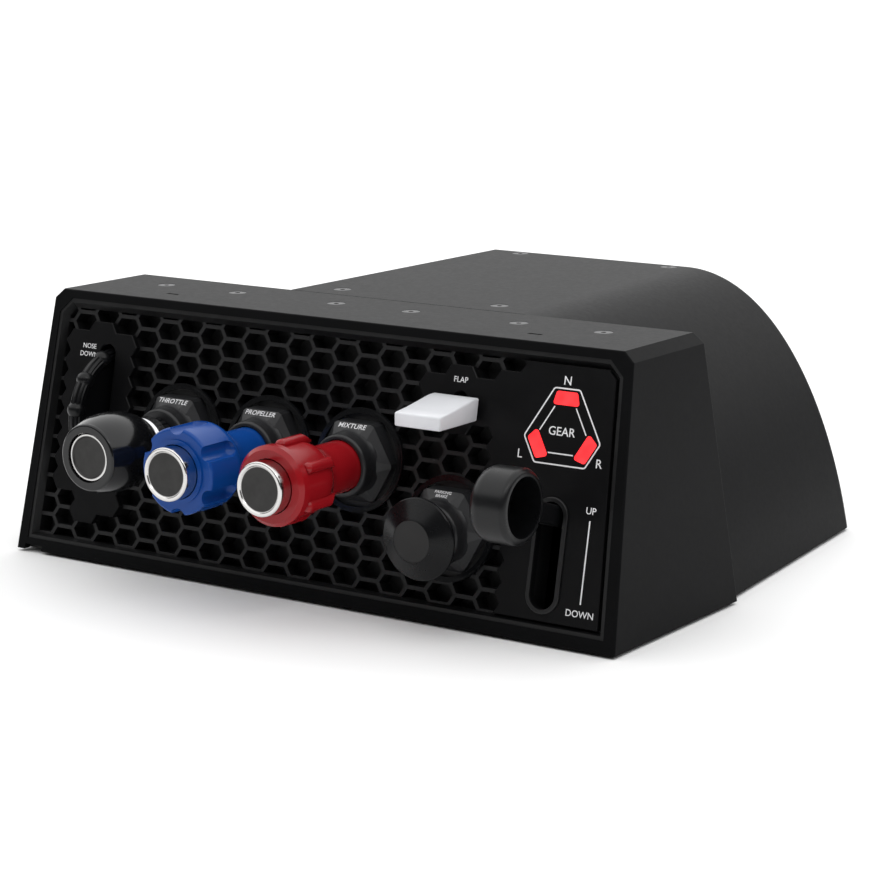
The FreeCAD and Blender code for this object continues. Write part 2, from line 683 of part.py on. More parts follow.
def hollow_for_button(body, button_r, turning):
    """Cut a knob for its button, the button's post and, when it turns, the rod's head."""
    body = body.cut(rod(POCKET_FLOOR, BIG / 4, button_r + SLIDE))
    body = body.cut(rod(HEAD_AT, BIG / 4, POST_R + FIT))
    if turning:
        body = body.cut(rod(HEAD_AT - SLIDE, CHAMBER_FRONT, CHAMBER_R))
        body = body.cut(rod(0, CHAMBER_FRONT, SHAFT_R + FIT))
    else:
        body = body.cut(rod(0, HEAD_AT, SHAFT_R))
    return body


def around_axis(shape, count, start):
    copies = []
    for i in range(count):
        copy = shape.copy()
        copy.rotate(Vector(0, 0, 0), Vector(0, -1, 0), start + 360.0 * i / count)
        copies.append(copy)
    return copies


GROOVE_R = 4.1
GROOVE_AXIS_R = 20.4
GROOVE_START = 50.0
GROOVED_R = 19.4
FACE_STEP_R = 14.3
STEM_R = 11.5


def propeller_knob():
    """A round knob with six long round-bottomed grooves."""
    body = lathe((KNOB_REAR, 0), (KNOB_REAR, STEM_R - 0.5), (KNOB_REAR + 0.5, STEM_R), (31.0, STEM_R),
                 (37.0, 13.0, 42.0, 16.8), (44.6, 18.8, 48.0, GROOVED_R), (KNOB_FRONT - 2.4, GROOVED_R),
                 (KNOB_FRONT - 1.1, GROOVED_R - 0.5, KNOB_FRONT - 0.8, GROOVED_R - 1.7),
                 (KNOB_FRONT - 0.8, FACE_STEP_R), (KNOB_FRONT, FACE_STEP_R), (KNOB_FRONT, 0))
    groove = rod(GROOVE_START, KNOB_FRONT + 5, GROOVE_R)
    groove = groove.fuse(Part.makeSphere(GROOVE_R, Vector(0, -GROOVE_START, 0)))
    groove.translate(Vector(0, 0, GROOVE_AXIS_R))
    for cutter in around_axis(groove, KNOB_LOBES, 0):
        body = body.cut(cutter)
    return hollow_for_button(body, BUTTON_R, True)


RIDGED_R = 16.3
FLANGE_R = 17.6
FLANGE_BACK = 60.4
RIDGE_HALF = 2.5
RIDGE_TOP_R = 19.1
RIDGE_BACK = 40.0


def mixture_knob():
    """A round knob with a front flange and six long round-ended ridges behind it."""
    body = lathe((KNOB_REAR, 0), (KNOB_REAR, STEM_R - 0.5), (KNOB_REAR + 0.5, STEM_R), (31.0, STEM_R),
                 (36.0, 12.3, 41.0, 14.9), (44.0, 16.0, 47.0, RIDGED_R), (FLANGE_BACK, RIDGED_R),
                 (FLANGE_BACK + 0.6, FLANGE_R), (KNOB_FRONT - 1.8, FLANGE_R),
                 (KNOB_FRONT, FLANGE_R - 1.8), (KNOB_FRONT, 0))
    ridge = rod(RIDGE_BACK, FLANGE_BACK - RIDGE_HALF, RIDGE_HALF)
    ridge = ridge.fuse(Part.makeSphere(RIDGE_HALF, Vector(0, -(FLANGE_BACK - RIDGE_HALF), 0)))
    ridge = ridge.fuse(Part.makeSphere(RIDGE_HALF, Vector(0, -RIDGE_BACK, 0)))
    ridge.translate(Vector(0, 0, RIDGE_TOP_R - RIDGE_HALF))
    envelope = lathe((30, 0), (30, STEM_R), (38, STEM_R + 3.4), (44, RIDGE_TOP_R + 0.1),
                     (BIG / 4, RIDGE_TOP_R + 0.1), (BIG / 4, 0))
    for rib in around_axis(ridge, KNOB_LOBES, 0):
        body = body.fuse(rib.common(envelope))
    return hollow_for_button(body.removeSplitter(), BUTTON_R, True)


def throttle_knob():
    """A smooth egg-shaped knob."""
    body = lathe((THROTTLE_BACK, 0), (THROTTLE_BACK, 11.6), (37.5, 16.0, 48.0, THROTTLE_R),
                 (57.0, 17.5, THROTTLE_FRONT - 1.2, THROTTLE_RIM_R),
                 (THROTTLE_FRONT - 0.3, THROTTLE_RIM_R - 0.4, THROTTLE_FRONT, THROTTLE_RIM_R - 1.1),
                 (THROTTLE_FRONT, 0))
    body = hollow_for_button(body, THROTTLE_BUTTON_R, False)
    return body.cut(rod(POCKET_FLOOR, THROTTLE_FLANGE_FRONT + BUTTON_TRAVEL, THROTTLE_FLANGE_R + SLIDE))


def button(radius, front):
    """A round metal button with a raised polished rim and a guide post."""
    body = lathe((BUTTON_BACK, 0), (BUTTON_BACK, radius), (front - 0.6, radius),
                 (front - 0.2, radius - 0.2, front, radius - 0.6), (front, radius - 1.5),
                 (front - 0.5, radius - 1.9), (front - 0.5, 0))
    return body.fuse(rod(POCKET_FLOOR - 0.8, BUTTON_BACK, POST_R)).removeSplitter()


def throttle_button():
    """The throttle's button, kept in by a flange inside the knob."""
    body = button(THROTTLE_BUTTON_R, THROTTLE_FRONT - 1.0)
    return body.fuse(rod(BUTTON_BACK, THROTTLE_FLANGE_FRONT, THROTTLE_FLANGE_R)).removeSplitter()


NUT_FRONT = 21.8
NUT_REAR = 16.6
NUT_RIM_R = 10.2
NUT_NOTCHES = 20
NUT_NOTCH_R = 0.7
FRICTION_COLLAR_BACK = 22.5
FRICTION_COLLAR_R = 12.0


def friction_nut():
    """The notched nut on the throttle's guide that sets how hard the rod slides."""
    body = lathe((NUT_REAR, 0), (NUT_REAR, NUT_RIM_R - 0.6), (NUT_REAR + 0.6, NUT_RIM_R),
                 (NUT_FRONT - 0.6, NUT_RIM_R), (NUT_FRONT, NUT_RIM_R - 0.6), (NUT_FRONT, 0))
    notch = rod(NUT_REAR - 1, NUT_FRONT + 1, NUT_NOTCH_R)
    notch.translate(Vector(0, 0, NUT_RIM_R + 0.1))
    body = body.cut(Part.makeCompound(around_axis(notch, NUT_NOTCHES, 0)))
    return body.cut(rod(0, BIG / 4, NECK_R + FIT))


def friction_collar():
    """The bright collar behind the throttle's knob."""
    back = FRICTION_COLLAR_BACK
    radius = FRICTION_COLLAR_R
    return lathe((back, SHAFT_R), (back, radius - 0.8), (back + 0.8, radius), (THROTTLE_BACK - 1.4, radius),
                 (THROTTLE_BACK, radius - 1.4), (THROTTLE_BACK, SHAFT_R))


def brake_knob():
    """A low round knob with a coned face and a hub that slips into its guide."""
    body = lathe((KNOB_REAR, SHAFT_R), (KNOB_REAR, STEM_R - 0.5), (KNOB_REAR + 0.5, STEM_R),
                 (BUSHING_NOSE + 0.4, STEM_R), (20.0, 13.8, 23.0, BRAKE_R - 0.3),
                 (23.8, BRAKE_R, 24.8, BRAKE_R - 0.5), (BRAKE_FRONT - 0.4, BRAKE_CAP_R + 0.8),
                 (BRAKE_FRONT, BRAKE_CAP_R), (BRAKE_FRONT - 1.2, BRAKE_CAP_R),
                 (BRAKE_FRONT - 1.2, SHAFT_R))
    return body


def brake_cap():
    """The flat disc in the brake knob's face."""
    return lathe((BRAKE_FRONT - 1.2, 0), (BRAKE_FRONT - 1.2, BRAKE_CAP_R), (BRAKE_FRONT - 0.2, BRAKE_CAP_R),
                 (BRAKE_FRONT, BRAKE_CAP_R - 0.2), (BRAKE_FRONT, 0))


# ---------------------------------------------------------------- trim wheel
def wheel_centre():
    middle = axis_point(TRIM_X, TRIM_V + TRIM_RISE)
    return middle + Vector(0, TRIM_SET_BACK * COS, -TRIM_SET_BACK * SIN)


TRIM_HUB_HALF = 5.0
TRIM_HUB_R = 6.5
TRIM_WEB = 3.0
TRIM_BALL_START = 12.5
TRIM_GROOVE_COUNT = 8
CHEEK_IN = 5.4
CHEEK_THICK = 2.8


def trim_wheel():
    """A wheel with round finger balls spaced round its grooved rim."""
    tube_wire = grooved_ring_outline()
    body = Part.Face(tube_wire).revolve(Vector(0, 0, 0), Vector(1, 0, 0), 360)
    web = Part.makeCylinder(TRIM_RING_R - 1.0, TRIM_WEB, Vector(-TRIM_WEB / 2, 0, 0), Vector(1, 0, 0))
    hub = Part.makeCylinder(TRIM_HUB_R, 2 * TRIM_HUB_HALF, Vector(-TRIM_HUB_HALF, 0, 0), Vector(1, 0, 0))
    body = body.fuse([web, hub])
    for i in range(TRIM_BALLS):
        turn = math.radians(TRIM_BALL_START + 360.0 * i / TRIM_BALLS)
        ball = Part.makeSphere(TRIM_BALL_R, Vector(0, -TRIM_RING_R * math.cos(turn),
                                                   TRIM_RING_R * math.sin(turn)))
        body = body.fuse(ball)
    bore = Part.makeCylinder(TRIM_AXLE_R + FIT, BIG, Vector(-BIG / 2, 0, 0), Vector(1, 0, 0))
    body = body.cut(bore).removeSplitter()
    body.translate(wheel_centre())
    return body


def grooved_ring_outline():
    """The rim's section: a circle with shallow grooves that run round the wheel."""
    points = []
    steps = 4 * TRIM_GROOVE_COUNT
    for i in range(steps + 1):
        turn = 2 * math.pi * i / steps
        radius = TRIM_TUBE_R - (0.55 if i % 4 == 2 else 0.0)
        points.append(Vector(radius * math.cos(turn), TRIM_RING_R + radius * math.sin(turn), 0))
    return Part.makePolygon(points)


def trim_bracket():
    """The yoke behind the panel that carries the wheel, and its pin."""
    tall = 9.0
    deep = 15.0
    out = CHEEK_IN + CHEEK_THICK
    parts = []
    for side in (-1, 1):
        x0 = TRIM_X + (CHEEK_IN if side > 0 else -out)
        parts.append(Part.makeBox(CHEEK_THICK, deep - 0.5, 2 * tall, Vector(x0, 0.5, TRIM_V - tall)))
        flange_x = TRIM_X + (CHEEK_IN if side > 0 else -out - 9)
        parts.append(Part.makeBox(9 + CHEEK_THICK, 3.0, 2 * tall, Vector(flange_x, PANEL_THICK, TRIM_V - tall)))
    body = on_panel(parts[0].fuse(parts[1]))
    other = on_panel(parts[2].fuse(parts[3]))
    pin = Part.makeCylinder(TRIM_AXLE_R, 2 * out, wheel_centre() - Vector(out, 0, 0), Vector(1, 0, 0))
    return body.fuse([pin, other]).removeSplitter()


# ---------------------------------------------------------------- flap paddle
FLAP_LEVEL = 2.0            # pivot above the paddle's axis point
PADDLE_HALF = 11.5
PADDLE_NEAR = 4.6
PADDLE_UNDERCUT = 2.2       # its back face leans, to stay off the plate as it swings
PADDLE_FAR = 33.0
PADDLE_BACK_TOP = 4.4
PADDLE_BACK_FOOT = -4.4
PADDLE_FRONT_TOP = -0.4
PADDLE_FRONT_FOOT = -6.8
FLAP_ARM_HALF = 1.6
FLAP_HUB_HALF = 2.8
FLAP_HUB_R = 4.2
FLAP_PIN_R = 1.5
FLAP_CHEEK = 2.4


def flap_pivot():
    return axis_point(FLAP_X, FLAP_V) + Vector(0, FLAP_PIVOT_BACK, FLAP_LEVEL)


def flap_paddle():
    """A wedge-shaped finger paddle."""
    outline = [(-PADDLE_NEAR - PADDLE_UNDERCUT, PADDLE_BACK_FOOT), (-PADDLE_NEAR, PADDLE_BACK_TOP),
               (-PADDLE_FAR, PADDLE_FRONT_TOP), (-PADDLE_FAR, PADDLE_FRONT_FOOT)]
    body = side_prism(outline, -PADDLE_HALF, PADDLE_HALF)
    body = body.makeFillet(1.2, body.Edges)
    body.translate(axis_point(FLAP_X, FLAP_V))
    return body.cut(flap_arm())


def flap_arm():
    """The arm from the paddle to its pivot behind the panel."""
    root = Vector(0, FLAP_PIVOT_BACK, FLAP_LEVEL)
    tip = -PADDLE_FAR + 14.0
    outline = [(tip, -3.6), (tip, 0.4), (root.y, root.z + 2.4), (root.y, root.z - 2.4)]
    body = side_prism(outline, -FLAP_ARM_HALF, FLAP_ARM_HALF)
    hub = Part.makeCylinder(FLAP_HUB_R, 2 * FLAP_HUB_HALF, root - Vector(FLAP_HUB_HALF, 0, 0), Vector(1, 0, 0))
    bore = Part.makeCylinder(FLAP_PIN_R + FIT, BIG, root - Vector(BIG / 2, 0, 0), Vector(1, 0, 0))
    body = body.fuse(hub).cut(bore).removeSplitter()
    body.translate(axis_point(FLAP_X, FLAP_V))
    return body


def flap_bracket():
    """Two ears behind the panel and the paddle's pin."""
    near = FLAP_HUB_HALF + SLIDE + 0.2
    out = near + FLAP_CHEEK
    tall = 7.0
    deep = FLAP_PIVOT_BACK * COS + 6.0
    shapes = []
    for side in (-1, 1):
        x0 = FLAP_X + (near if side > 0 else -out)
        ear = Part.makeBox(FLAP_CHEEK, deep - PANEL_THICK, 2 * tall, Vector(x0, PANEL_THICK, FLAP_V - tall))
        flange_x = FLAP_X + (near if side > 0 else -out - 7)
        flange = Part.makeBox(7 + FLAP_CHEEK, 2.5, 2 * tall, Vector(flange_x, PANEL_THICK, FLAP_V - tall))
        shapes.append(on_panel(ear.fuse(flange)))
    pin = Part.makeCylinder(FLAP_PIN_R, 2 * out, flap_pivot() - Vector(out, 0, 0), Vector(1, 0, 0))
    return shapes[0].fuse([pin, shapes[1]]).removeSplitter()


# ---------------------------------------------------------------- gear lever
GEAR_PIN_R = 3.0
GEAR_HUB_R = 7.5
GEAR_HUB_HALF = 4.6
GEAR_CHEEK = 3.0
GEAR_CAVITY_R = 12.9
GEAR_CAVITY_FLOOR = 4.5
GEAR_DOME = 6.0
GEAR_LIP = 2.6
GEAR_ARM_END = 6.0          # the arm runs this far into the knob's rim


def gear_pivot():
    return axis_point(GEAR_X, GEAR_SLOT_V) + Vector(0, GEAR_PIVOT_BACK, 0)


def swung(shape):
    """From the lever's own frame, level and about its pivot, to its raised place."""
    shape = shape.copy()
    shape.rotate(Vector(0, 0, 0), Vector(1, 0, 0), -GEAR_SWING)
    shape.translate(gear_pivot())
    return shape


def gear_arm():
    """The flat bar from the pivot to the round knob."""
    reach = GEAR_REACH - GEAR_KNOB_R + GEAR_ARM_END - 2.6
    body = Part.makeBox(GEAR_ARM_THICK, reach, GEAR_ARM_TALL,
                        Vector(-GEAR_ARM_THICK / 2, -reach, -GEAR_ARM_TALL / 2))
    long_edges = [e for e in body.Edges if e.BoundBox.YLength > 1]
    body = body.makeFillet(1.5, long_edges)
    hub = Part.makeCylinder(GEAR_HUB_R, 2 * GEAR_HUB_HALF, Vector(-GEAR_HUB_HALF, 0, 0), Vector(1, 0, 0))
    bore = Part.makeCylinder(GEAR_PIN_R + FIT, BIG, Vector(-BIG / 2, 0, 0), Vector(1, 0, 0))
    return swung(body.fuse(hub).cut(bore).removeSplitter())


def gear_knob():
    """A knob shaped like a small tyre, hollow from its outer side."""
    half = GEAR_KNOB_WIDE / 2
    body = Part.makeCylinder(GEAR_KNOB_R, GEAR_KNOB_WIDE, Vector(-half, -GEAR_REACH, 0), Vector(1, 0, 0))
    rims = [e for e in body.Edges if abs(e.BoundBox.XLength) < 0.01]
    closed = [e for e in rims if e.BoundBox.XMax < 0]
    lip = [e for e in rims if e.BoundBox.XMin > 0]
    body = body.makeFillet(GEAR_DOME, closed).makeFillet(GEAR_LIP, lip)
    floor = -half + GEAR_CAVITY_FLOOR
    cavity = Part.makeCylinder(GEAR_CAVITY_R, GEAR_KNOB_WIDE, Vector(floor, -GEAR_REACH, 0), Vector(1, 0, 0))
    body = swung(body.cut(cavity))
    return body.cut(gear_arm())


def gear_bracket():
    """The stand on the base plate that carries the lever's pin."""
    near = GEAR_HUB_HALF + SLIDE + 0.1
    out = near + GEAR_CHEEK
    pivot = gear_pivot()
    shapes = []
    for side in (-1, 1):
        x0 = GEAR_X + (near if side > 0 else -out)
        outline = [(pivot.y - 14, BASE_THICK), (pivot.y + 14, BASE_THICK),
                   (pivot.y + 7, pivot.z + 7), (pivot.y - 7, pivot.z + 7)]
        shapes.append(side_prism(outline, x0, x0 + GEAR_CHEEK))
    foot = Part.makeBox(2 * out, 28, 3.0, Vector(GEAR_X - out, pivot.y - 14, BASE_THICK))
    pin = Part.makeCylinder(GEAR_PIN_R, 2 * out, pivot - Vector(out, 0, 0), Vector(1, 0, 0))
    return shapes[0].fuse([shapes[1], foot, pin]).removeSplitter()


# ---------------------------------------------------------------- underside and fasteners
FOOT_WIDE = 12.0
FOOT_LONG = 230.0
REAR_FOOT_LONG = 150.0
PLATE_GAP = 0.2


def base_plate():
    """The floor of the front housing."""
    front = PANEL_FOOT_Y + BASE_THICK * TAN + PLATE_GAP
    back = BASE_DEPTH - WALL / COS - BASE_THICK * TAN - PLATE_GAP
    half = half_width(0) - WALL - PLATE_GAP - 0.4
    outline = [(front, 0), (back, 0), (back, BASE_THICK), (front, BASE_THICK)]
    return side_prism(outline, -half, half)


def rear_base_plate():
    """The floor of the rear housing, cut to its curved side."""
    slab = Part.makeBox(BIG, BIG, BASE_THICK, Vector(-BIG / 2, 0, 0))
    inner = rear_body(WALL + PLATE_GAP)
    inner = round_back_corners(inner, REAR_CORNER - WALL - PLATE_GAP, REAR_BACK - WALL - PLATE_GAP)
    return slab.common(inner).common(behind_front_housing(0.6))


def rubber_feet():
    feet = []
    rear_mid = (REAR_LEFT + SKIRT_BACK) / 2
    spots = [(0, FOOT_SETBACK, FOOT_LONG), (0, BASE_DEPTH - FOOT_SETBACK, FOOT_LONG),
             (rear_mid, REAR_BACK - FOOT_SETBACK, REAR_FOOT_LONG)]
    for x, y, long in spots:
        strip = Part.makeBox(long, FOOT_WIDE, FOOT_HEIGHT, Vector(x - long / 2, y - FOOT_WIDE / 2, -FOOT_HEIGHT))
        upright = [e for e in strip.Edges if e.BoundBox.ZLength > 1]
        feet.append(strip.makeFillet(3.0, upright))
    return feet


def flush_screw(x, y):
    """A flush screw head with a six-sided socket."""
    head = Part.makeCylinder(SCREW_HEAD_R, 1.9, Vector(x, y, HEIGHT - 2.0))
    return head.cut(Part.makeCylinder(1.25, 1.2, Vector(x, y, HEIGHT - 1.2)))


# ---------------------------------------------------------------- build
os.makedirs("parts", exist_ok=True)
export("front_housing", front_housing())
export("rear_housing", rear_housing())
export("base_plate", base_plate())
export("rear_base_plate", rear_base_plate())
export("rubber_feet", *rubber_feet())
export("bezel_frame", bezel_frame())
export("control_panel", control_panel())
export("trim_plate", trim_plate())
export("gear_plate", gear_plate())
export("gear_slot_rim", gear_slot_rim())
export("gear_lamps", *[on_panel(block) for block in lamp_blocks()])
export("top_screws", *[flush_screw(x, y) for x, y in front_screw_places()])
export("rear_screws", *[flush_screw(x, y) for y in REAR_SCREW_Y for x in (-REAR_SCREW_X, REAR_SCREW_X)])
export("data_inlet", data_inlet())
export("panel_nuts", *[panel_nut(x, v) for x, v in CONTROLS])

for name, (x, v) in zip(("throttle", "propeller", "mixture", "brake"), CONTROLS):
    export(name + "_ring", ring(x, v))
    export(name + "_bushing", bushing(x, v, name == "throttle"))

x, v = CONTROLS[0]
export("throttle_shaft", at_control(shaft(PUSH_TRAVEL, HEAD_AT, False, False), x, v))
export("throttle_knob", at_control(throttle_knob(), x, v))
export("throttle_button", at_control(throttle_button(), x, v))
export("friction_nut", at_control(friction_nut(), x, v))
export("friction_collar", at_control(friction_collar(), x, v))

x, v = CONTROLS[1]
export("propeller_shaft", at_control(shaft(PUSH_TRAVEL, HEAD_AT, True, True), x, v))
export("propeller_knob", at_control(propeller_knob(), x, v))
export("propeller_button", at_control(button(BUTTON_R, KNOB_FRONT + BUTTON_PROUD), x, v))

x, v = CONTROLS[2]
export("mixture_shaft", at_control(shaft(PUSH_TRAVEL, HEAD_AT, True, True), x, v))
export("mixture_knob", at_control(mixture_knob(), x, v))
export("mixture_button", at_control(button(BUTTON_R, KNOB_FRONT + BUTTON_PROUD), x, v))

x, v = CONTROLS[3]
export("brake_shaft", at_control(shaft(BRAKE_TRAVEL, BRAKE_FRONT - 1.2, False, False), x, v))
export("brake_knob", at_control(brake_knob(), x, v))
export("brake_cap", at_control(brake_cap(), x, v))

export("trim_wheel", trim_wheel())
export("trim_bracket", trim_bracket())
export("flap_arm", flap_arm())
export("flap_paddle", flap_paddle())
export("flap_bracket", flap_bracket())
export("gear_arm", gear_arm())
export("gear_knob", gear_knob())
export("gear_bracket", gear_bracket())
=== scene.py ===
import math

import bmesh
import bpy
from mathutils import Matrix, Vector


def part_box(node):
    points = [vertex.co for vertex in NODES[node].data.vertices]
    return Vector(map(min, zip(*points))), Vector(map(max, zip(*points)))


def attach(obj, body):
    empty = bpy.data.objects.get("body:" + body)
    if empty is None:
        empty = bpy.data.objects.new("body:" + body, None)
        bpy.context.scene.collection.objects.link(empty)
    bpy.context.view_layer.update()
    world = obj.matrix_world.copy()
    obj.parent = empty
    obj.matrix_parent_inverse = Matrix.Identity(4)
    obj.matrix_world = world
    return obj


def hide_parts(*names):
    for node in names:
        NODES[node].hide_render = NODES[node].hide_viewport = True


bl_info = {
    "name": "Throttle Quadrant Dressing",
    "version": (1, 0, 0),
    "blender": (4, 5, 0),
    "location": "3D View > Sidebar > Quadrant",
    "description": "Finishes, lettering and studio for a desktop throttle quadrant",
    "category": "Object",
}

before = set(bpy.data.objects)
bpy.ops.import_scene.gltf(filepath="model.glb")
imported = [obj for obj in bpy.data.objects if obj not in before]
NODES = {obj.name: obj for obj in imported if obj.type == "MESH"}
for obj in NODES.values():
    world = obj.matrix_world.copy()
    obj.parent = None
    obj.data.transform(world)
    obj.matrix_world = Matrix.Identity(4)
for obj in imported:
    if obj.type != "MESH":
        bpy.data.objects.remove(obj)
MM = 0.001
FRONT_FOOT_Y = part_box("front_housing")[0].y
FRONT_FOOT_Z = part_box("front_housing")[0].z

# How far the underside of a printed mark stands clear of its plate.
INK_GAP = 0.01 * MM
# The gear display's middle on the panel: millimetres across, and up along it.
DISPLAY_ACROSS, DISPLAY_UP = 128.6, 89.1
# The sockets of a colour Mix node.
MIX_FACTOR, MIX_FIRST, MIX_SECOND, MIX_RESULT = 0, 6, 7, 2
# Where a button's polished rim starts and ends, as shares of its radius.
RIM_START, RIM_COLOUR_END, RIM_GLOSS_END = 0.80, 0.84, 0.86
# A button's face is painted in shade: its colour is this share of its rim's brightness.
FACE_SHADE_SHARE = 0.08


def axis_of(node):
    """The middle of a CAD node's box, which for a round knob or button lies on its axis."""
    low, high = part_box(node)
    return (low + high) / 2


# ------------------------------------------------------------------ user values
class QuadrantSizes(bpy.types.PropertyGroup):
    """Where the panel lies and how large its lettering is."""

    lean: bpy.props.FloatProperty(
        name="Panel lean", description="How far the panel leans back",
        default=math.radians(11.3), subtype="ANGLE")
    recess: bpy.props.FloatProperty(
        name="Panel recess", description="Housing face to the front of the cell webs",
        default=3.7 * MM, unit="LENGTH")
    plate: bpy.props.FloatProperty(
        name="Plate thickness", description="Thickness of the legend plates on the cells",
        default=2.9 * MM, unit="LENGTH")
    ink: bpy.props.FloatProperty(
        name="Ink thickness", description="How far printed marks stand off the plate",
        default=0.04 * MM, unit="LENGTH")
    small_letters: bpy.props.FloatProperty(
        name="Small letters", description="Height of the capitals beside the trim wheel",
        default=2.3 * MM, unit="LENGTH")
    plate_letters: bpy.props.FloatProperty(
        name="Plate letters", description="Height of the capitals on the gear plate",
        default=2.9 * MM, unit="LENGTH")
    display_letters: bpy.props.FloatProperty(
        name="Display letters", description="Height of the capitals round the gear display",
        default=3.7 * MM, unit="LENGTH")
    guide_letters: bpy.props.FloatProperty(
        name="Guide letters", description="Height of the capitals on the six-sided guides",
        default=2.5 * MM, unit="LENGTH")
    paddle_long: bpy.props.FloatProperty(
        name="Paddle length", description="Flap paddle, back to front",
        default=30.6 * MM, unit="LENGTH")
    paddle_half: bpy.props.FloatProperty(
        name="Paddle half width", description="Half the flap paddle's width",
        default=11.7 * MM, unit="LENGTH")
    paddle_tall: bpy.props.FloatProperty(
        name="Paddle back height", description="Flap paddle's height at its back",
        default=9.9 * MM, unit="LENGTH")
    paddle_front: bpy.props.FloatProperty(
        name="Paddle front height", description="Flap paddle's height at its front edge",
        default=6.1 * MM, unit="LENGTH")
    paddle_edge: bpy.props.FloatProperty(
        name="Paddle edge", description="Rounding of the flap paddle's edges",
        default=0.9 * MM, unit="LENGTH")
    guide_slope: bpy.props.FloatProperty(
        name="Guide slope", description="How steeply a guide's flats slope to its collar",
        default=math.radians(45), subtype="ANGLE")
    guide_ahead: bpy.props.FloatProperty(
        name="Guide print ahead", description="Cell webs to the middle of a guide's print",
        default=5.85 * MM, unit="LENGTH")
    guide_out: bpy.props.FloatProperty(
        name="Guide print height", description="Control's axis to the middle of a guide's print",
        default=16.25 * MM, unit="LENGTH")
    guide_width: bpy.props.FloatProperty(
        name="Guide print width", description="Widest that a guide's print may be",
        default=16.6 * MM, unit="LENGTH")
    line: bpy.props.FloatProperty(
        name="Line width", description="Width of the printed lines",
        default=0.62 * MM, unit="LENGTH")
    display_near: bpy.props.FloatProperty(
        name="Display short reach", description="Display's middle to its three long sides",
        default=14.35 * MM, unit="LENGTH")
    display_far: bpy.props.FloatProperty(
        name="Display long reach", description="Display's middle to its three lamp sides",
        default=17.95 * MM, unit="LENGTH")
    display_round: bpy.props.FloatProperty(
        name="Display corners", description="Rounding of the display outline's corners",
        default=1.6 * MM, unit="LENGTH")


class QuadrantColours(bpy.types.PropertyGroup):
    """The colours of the plastics, metals and lamps."""

    housing: bpy.props.FloatVectorProperty(
        name="Housing", description="Painted housings", subtype="COLOR",
        size=3, min=0, max=1, default=(0.0042, 0.0043, 0.0046))
    panel: bpy.props.FloatVectorProperty(
        name="Cell panel", description="The panel of six-sided cells", subtype="COLOR",
        size=3, min=0, max=1, default=(0.006, 0.006, 0.0065))
    plate: bpy.props.FloatVectorProperty(
        name="Legend plates", description="The plates that carry the lettering", subtype="COLOR",
        size=3, min=0, max=1, default=(0.0048, 0.0048, 0.0052))
    guide: bpy.props.FloatVectorProperty(
        name="Guides", description="The six-sided guides of the controls", subtype="COLOR",
        size=3, min=0, max=1, default=(0.012, 0.0122, 0.0135))
    black: bpy.props.FloatVectorProperty(
        name="Black knobs", description="Gloss black plastic", subtype="COLOR",
        size=3, min=0, max=1, default=(0.004, 0.0042, 0.0048))
    blue: bpy.props.FloatVectorProperty(
        name="Propeller knob", description="Blue plastic", subtype="COLOR",
        size=3, min=0, max=1, default=(0.004, 0.055, 0.27))
    red: bpy.props.FloatVectorProperty(
        name="Mixture knob", description="Red plastic", subtype="COLOR",
        size=3, min=0, max=1, default=(0.28, 0.006, 0.010))
    paddle: bpy.props.FloatVectorProperty(
        name="Flap paddle", description="White plastic", subtype="COLOR",
        size=3, min=0, max=1, default=(0.74, 0.75, 0.78))
    silver: bpy.props.FloatVectorProperty(
        name="Push buttons", description="Satin metal", subtype="COLOR",
        size=3, min=0, max=1, default=(0.62, 0.61, 0.60))
    lettering: bpy.props.FloatVectorProperty(
        name="Lettering", description="White ink", subtype="COLOR",
        size=3, min=0, max=1, default=(0.78, 0.78, 0.79))
    lamp: bpy.props.FloatVectorProperty(
        name="Gear lamps", description="Lit red lenses", subtype="COLOR",
        size=3, min=0, max=1, default=(1.0, 0.02, 0.025))
    floor: bpy.props.FloatVectorProperty(
        name="Floor", description="The pale floor", subtype="COLOR",
        size=3, min=0, max=1, default=(0.93, 0.93, 0.93))


class QuadrantStudio(bpy.types.PropertyGroup):
    """The camera and the lights."""

    azimuth: bpy.props.FloatProperty(
        name="Azimuth", description="Camera's turn round the object, from straight ahead",
        default=math.radians(33.92), subtype="ANGLE")
    elevation: bpy.props.FloatProperty(
        name="Elevation", description="Camera's height above the level", subtype="ANGLE",
        default=math.radians(11.48))
    roll: bpy.props.FloatProperty(
        name="Roll", description="Camera's turn about its own view line", subtype="ANGLE",
        default=math.radians(0.234))
    place: bpy.props.FloatVectorProperty(
        name="Camera place", description="Camera's place", subtype="TRANSLATION",
        size=3, default=(0.69951, -0.94188, 0.31165))
    lens: bpy.props.FloatProperty(
        name="Lens", description="Focal length in millimetres", default=110.8, min=1)
    sky: bpy.props.FloatProperty(
        name="Room light", description="Strength of the light from all round",
        default=0.10, min=0)
    key: bpy.props.FloatProperty(
        name="Overhead light", description="Strength of the wide light overhead",
        default=4.1, min=0)
    back: bpy.props.FloatProperty(
        name="Back light", description="Power of the wide panel behind the object",
        default=3.0, min=0)
    strip: bpy.props.FloatProperty(
        name="Strip light", description="Power of the strip light beside the camera",
        default=1.2, min=0)


SIZES = "quadrant_sizes"
COLOURS = "quadrant_colours"
STUDIO = "quadrant_studio"


def sizes():
    """The user's sizes."""
    return getattr(bpy.context.scene, SIZES)


def colours():
    """The user's colours."""
    return getattr(bpy.context.scene, COLOURS)


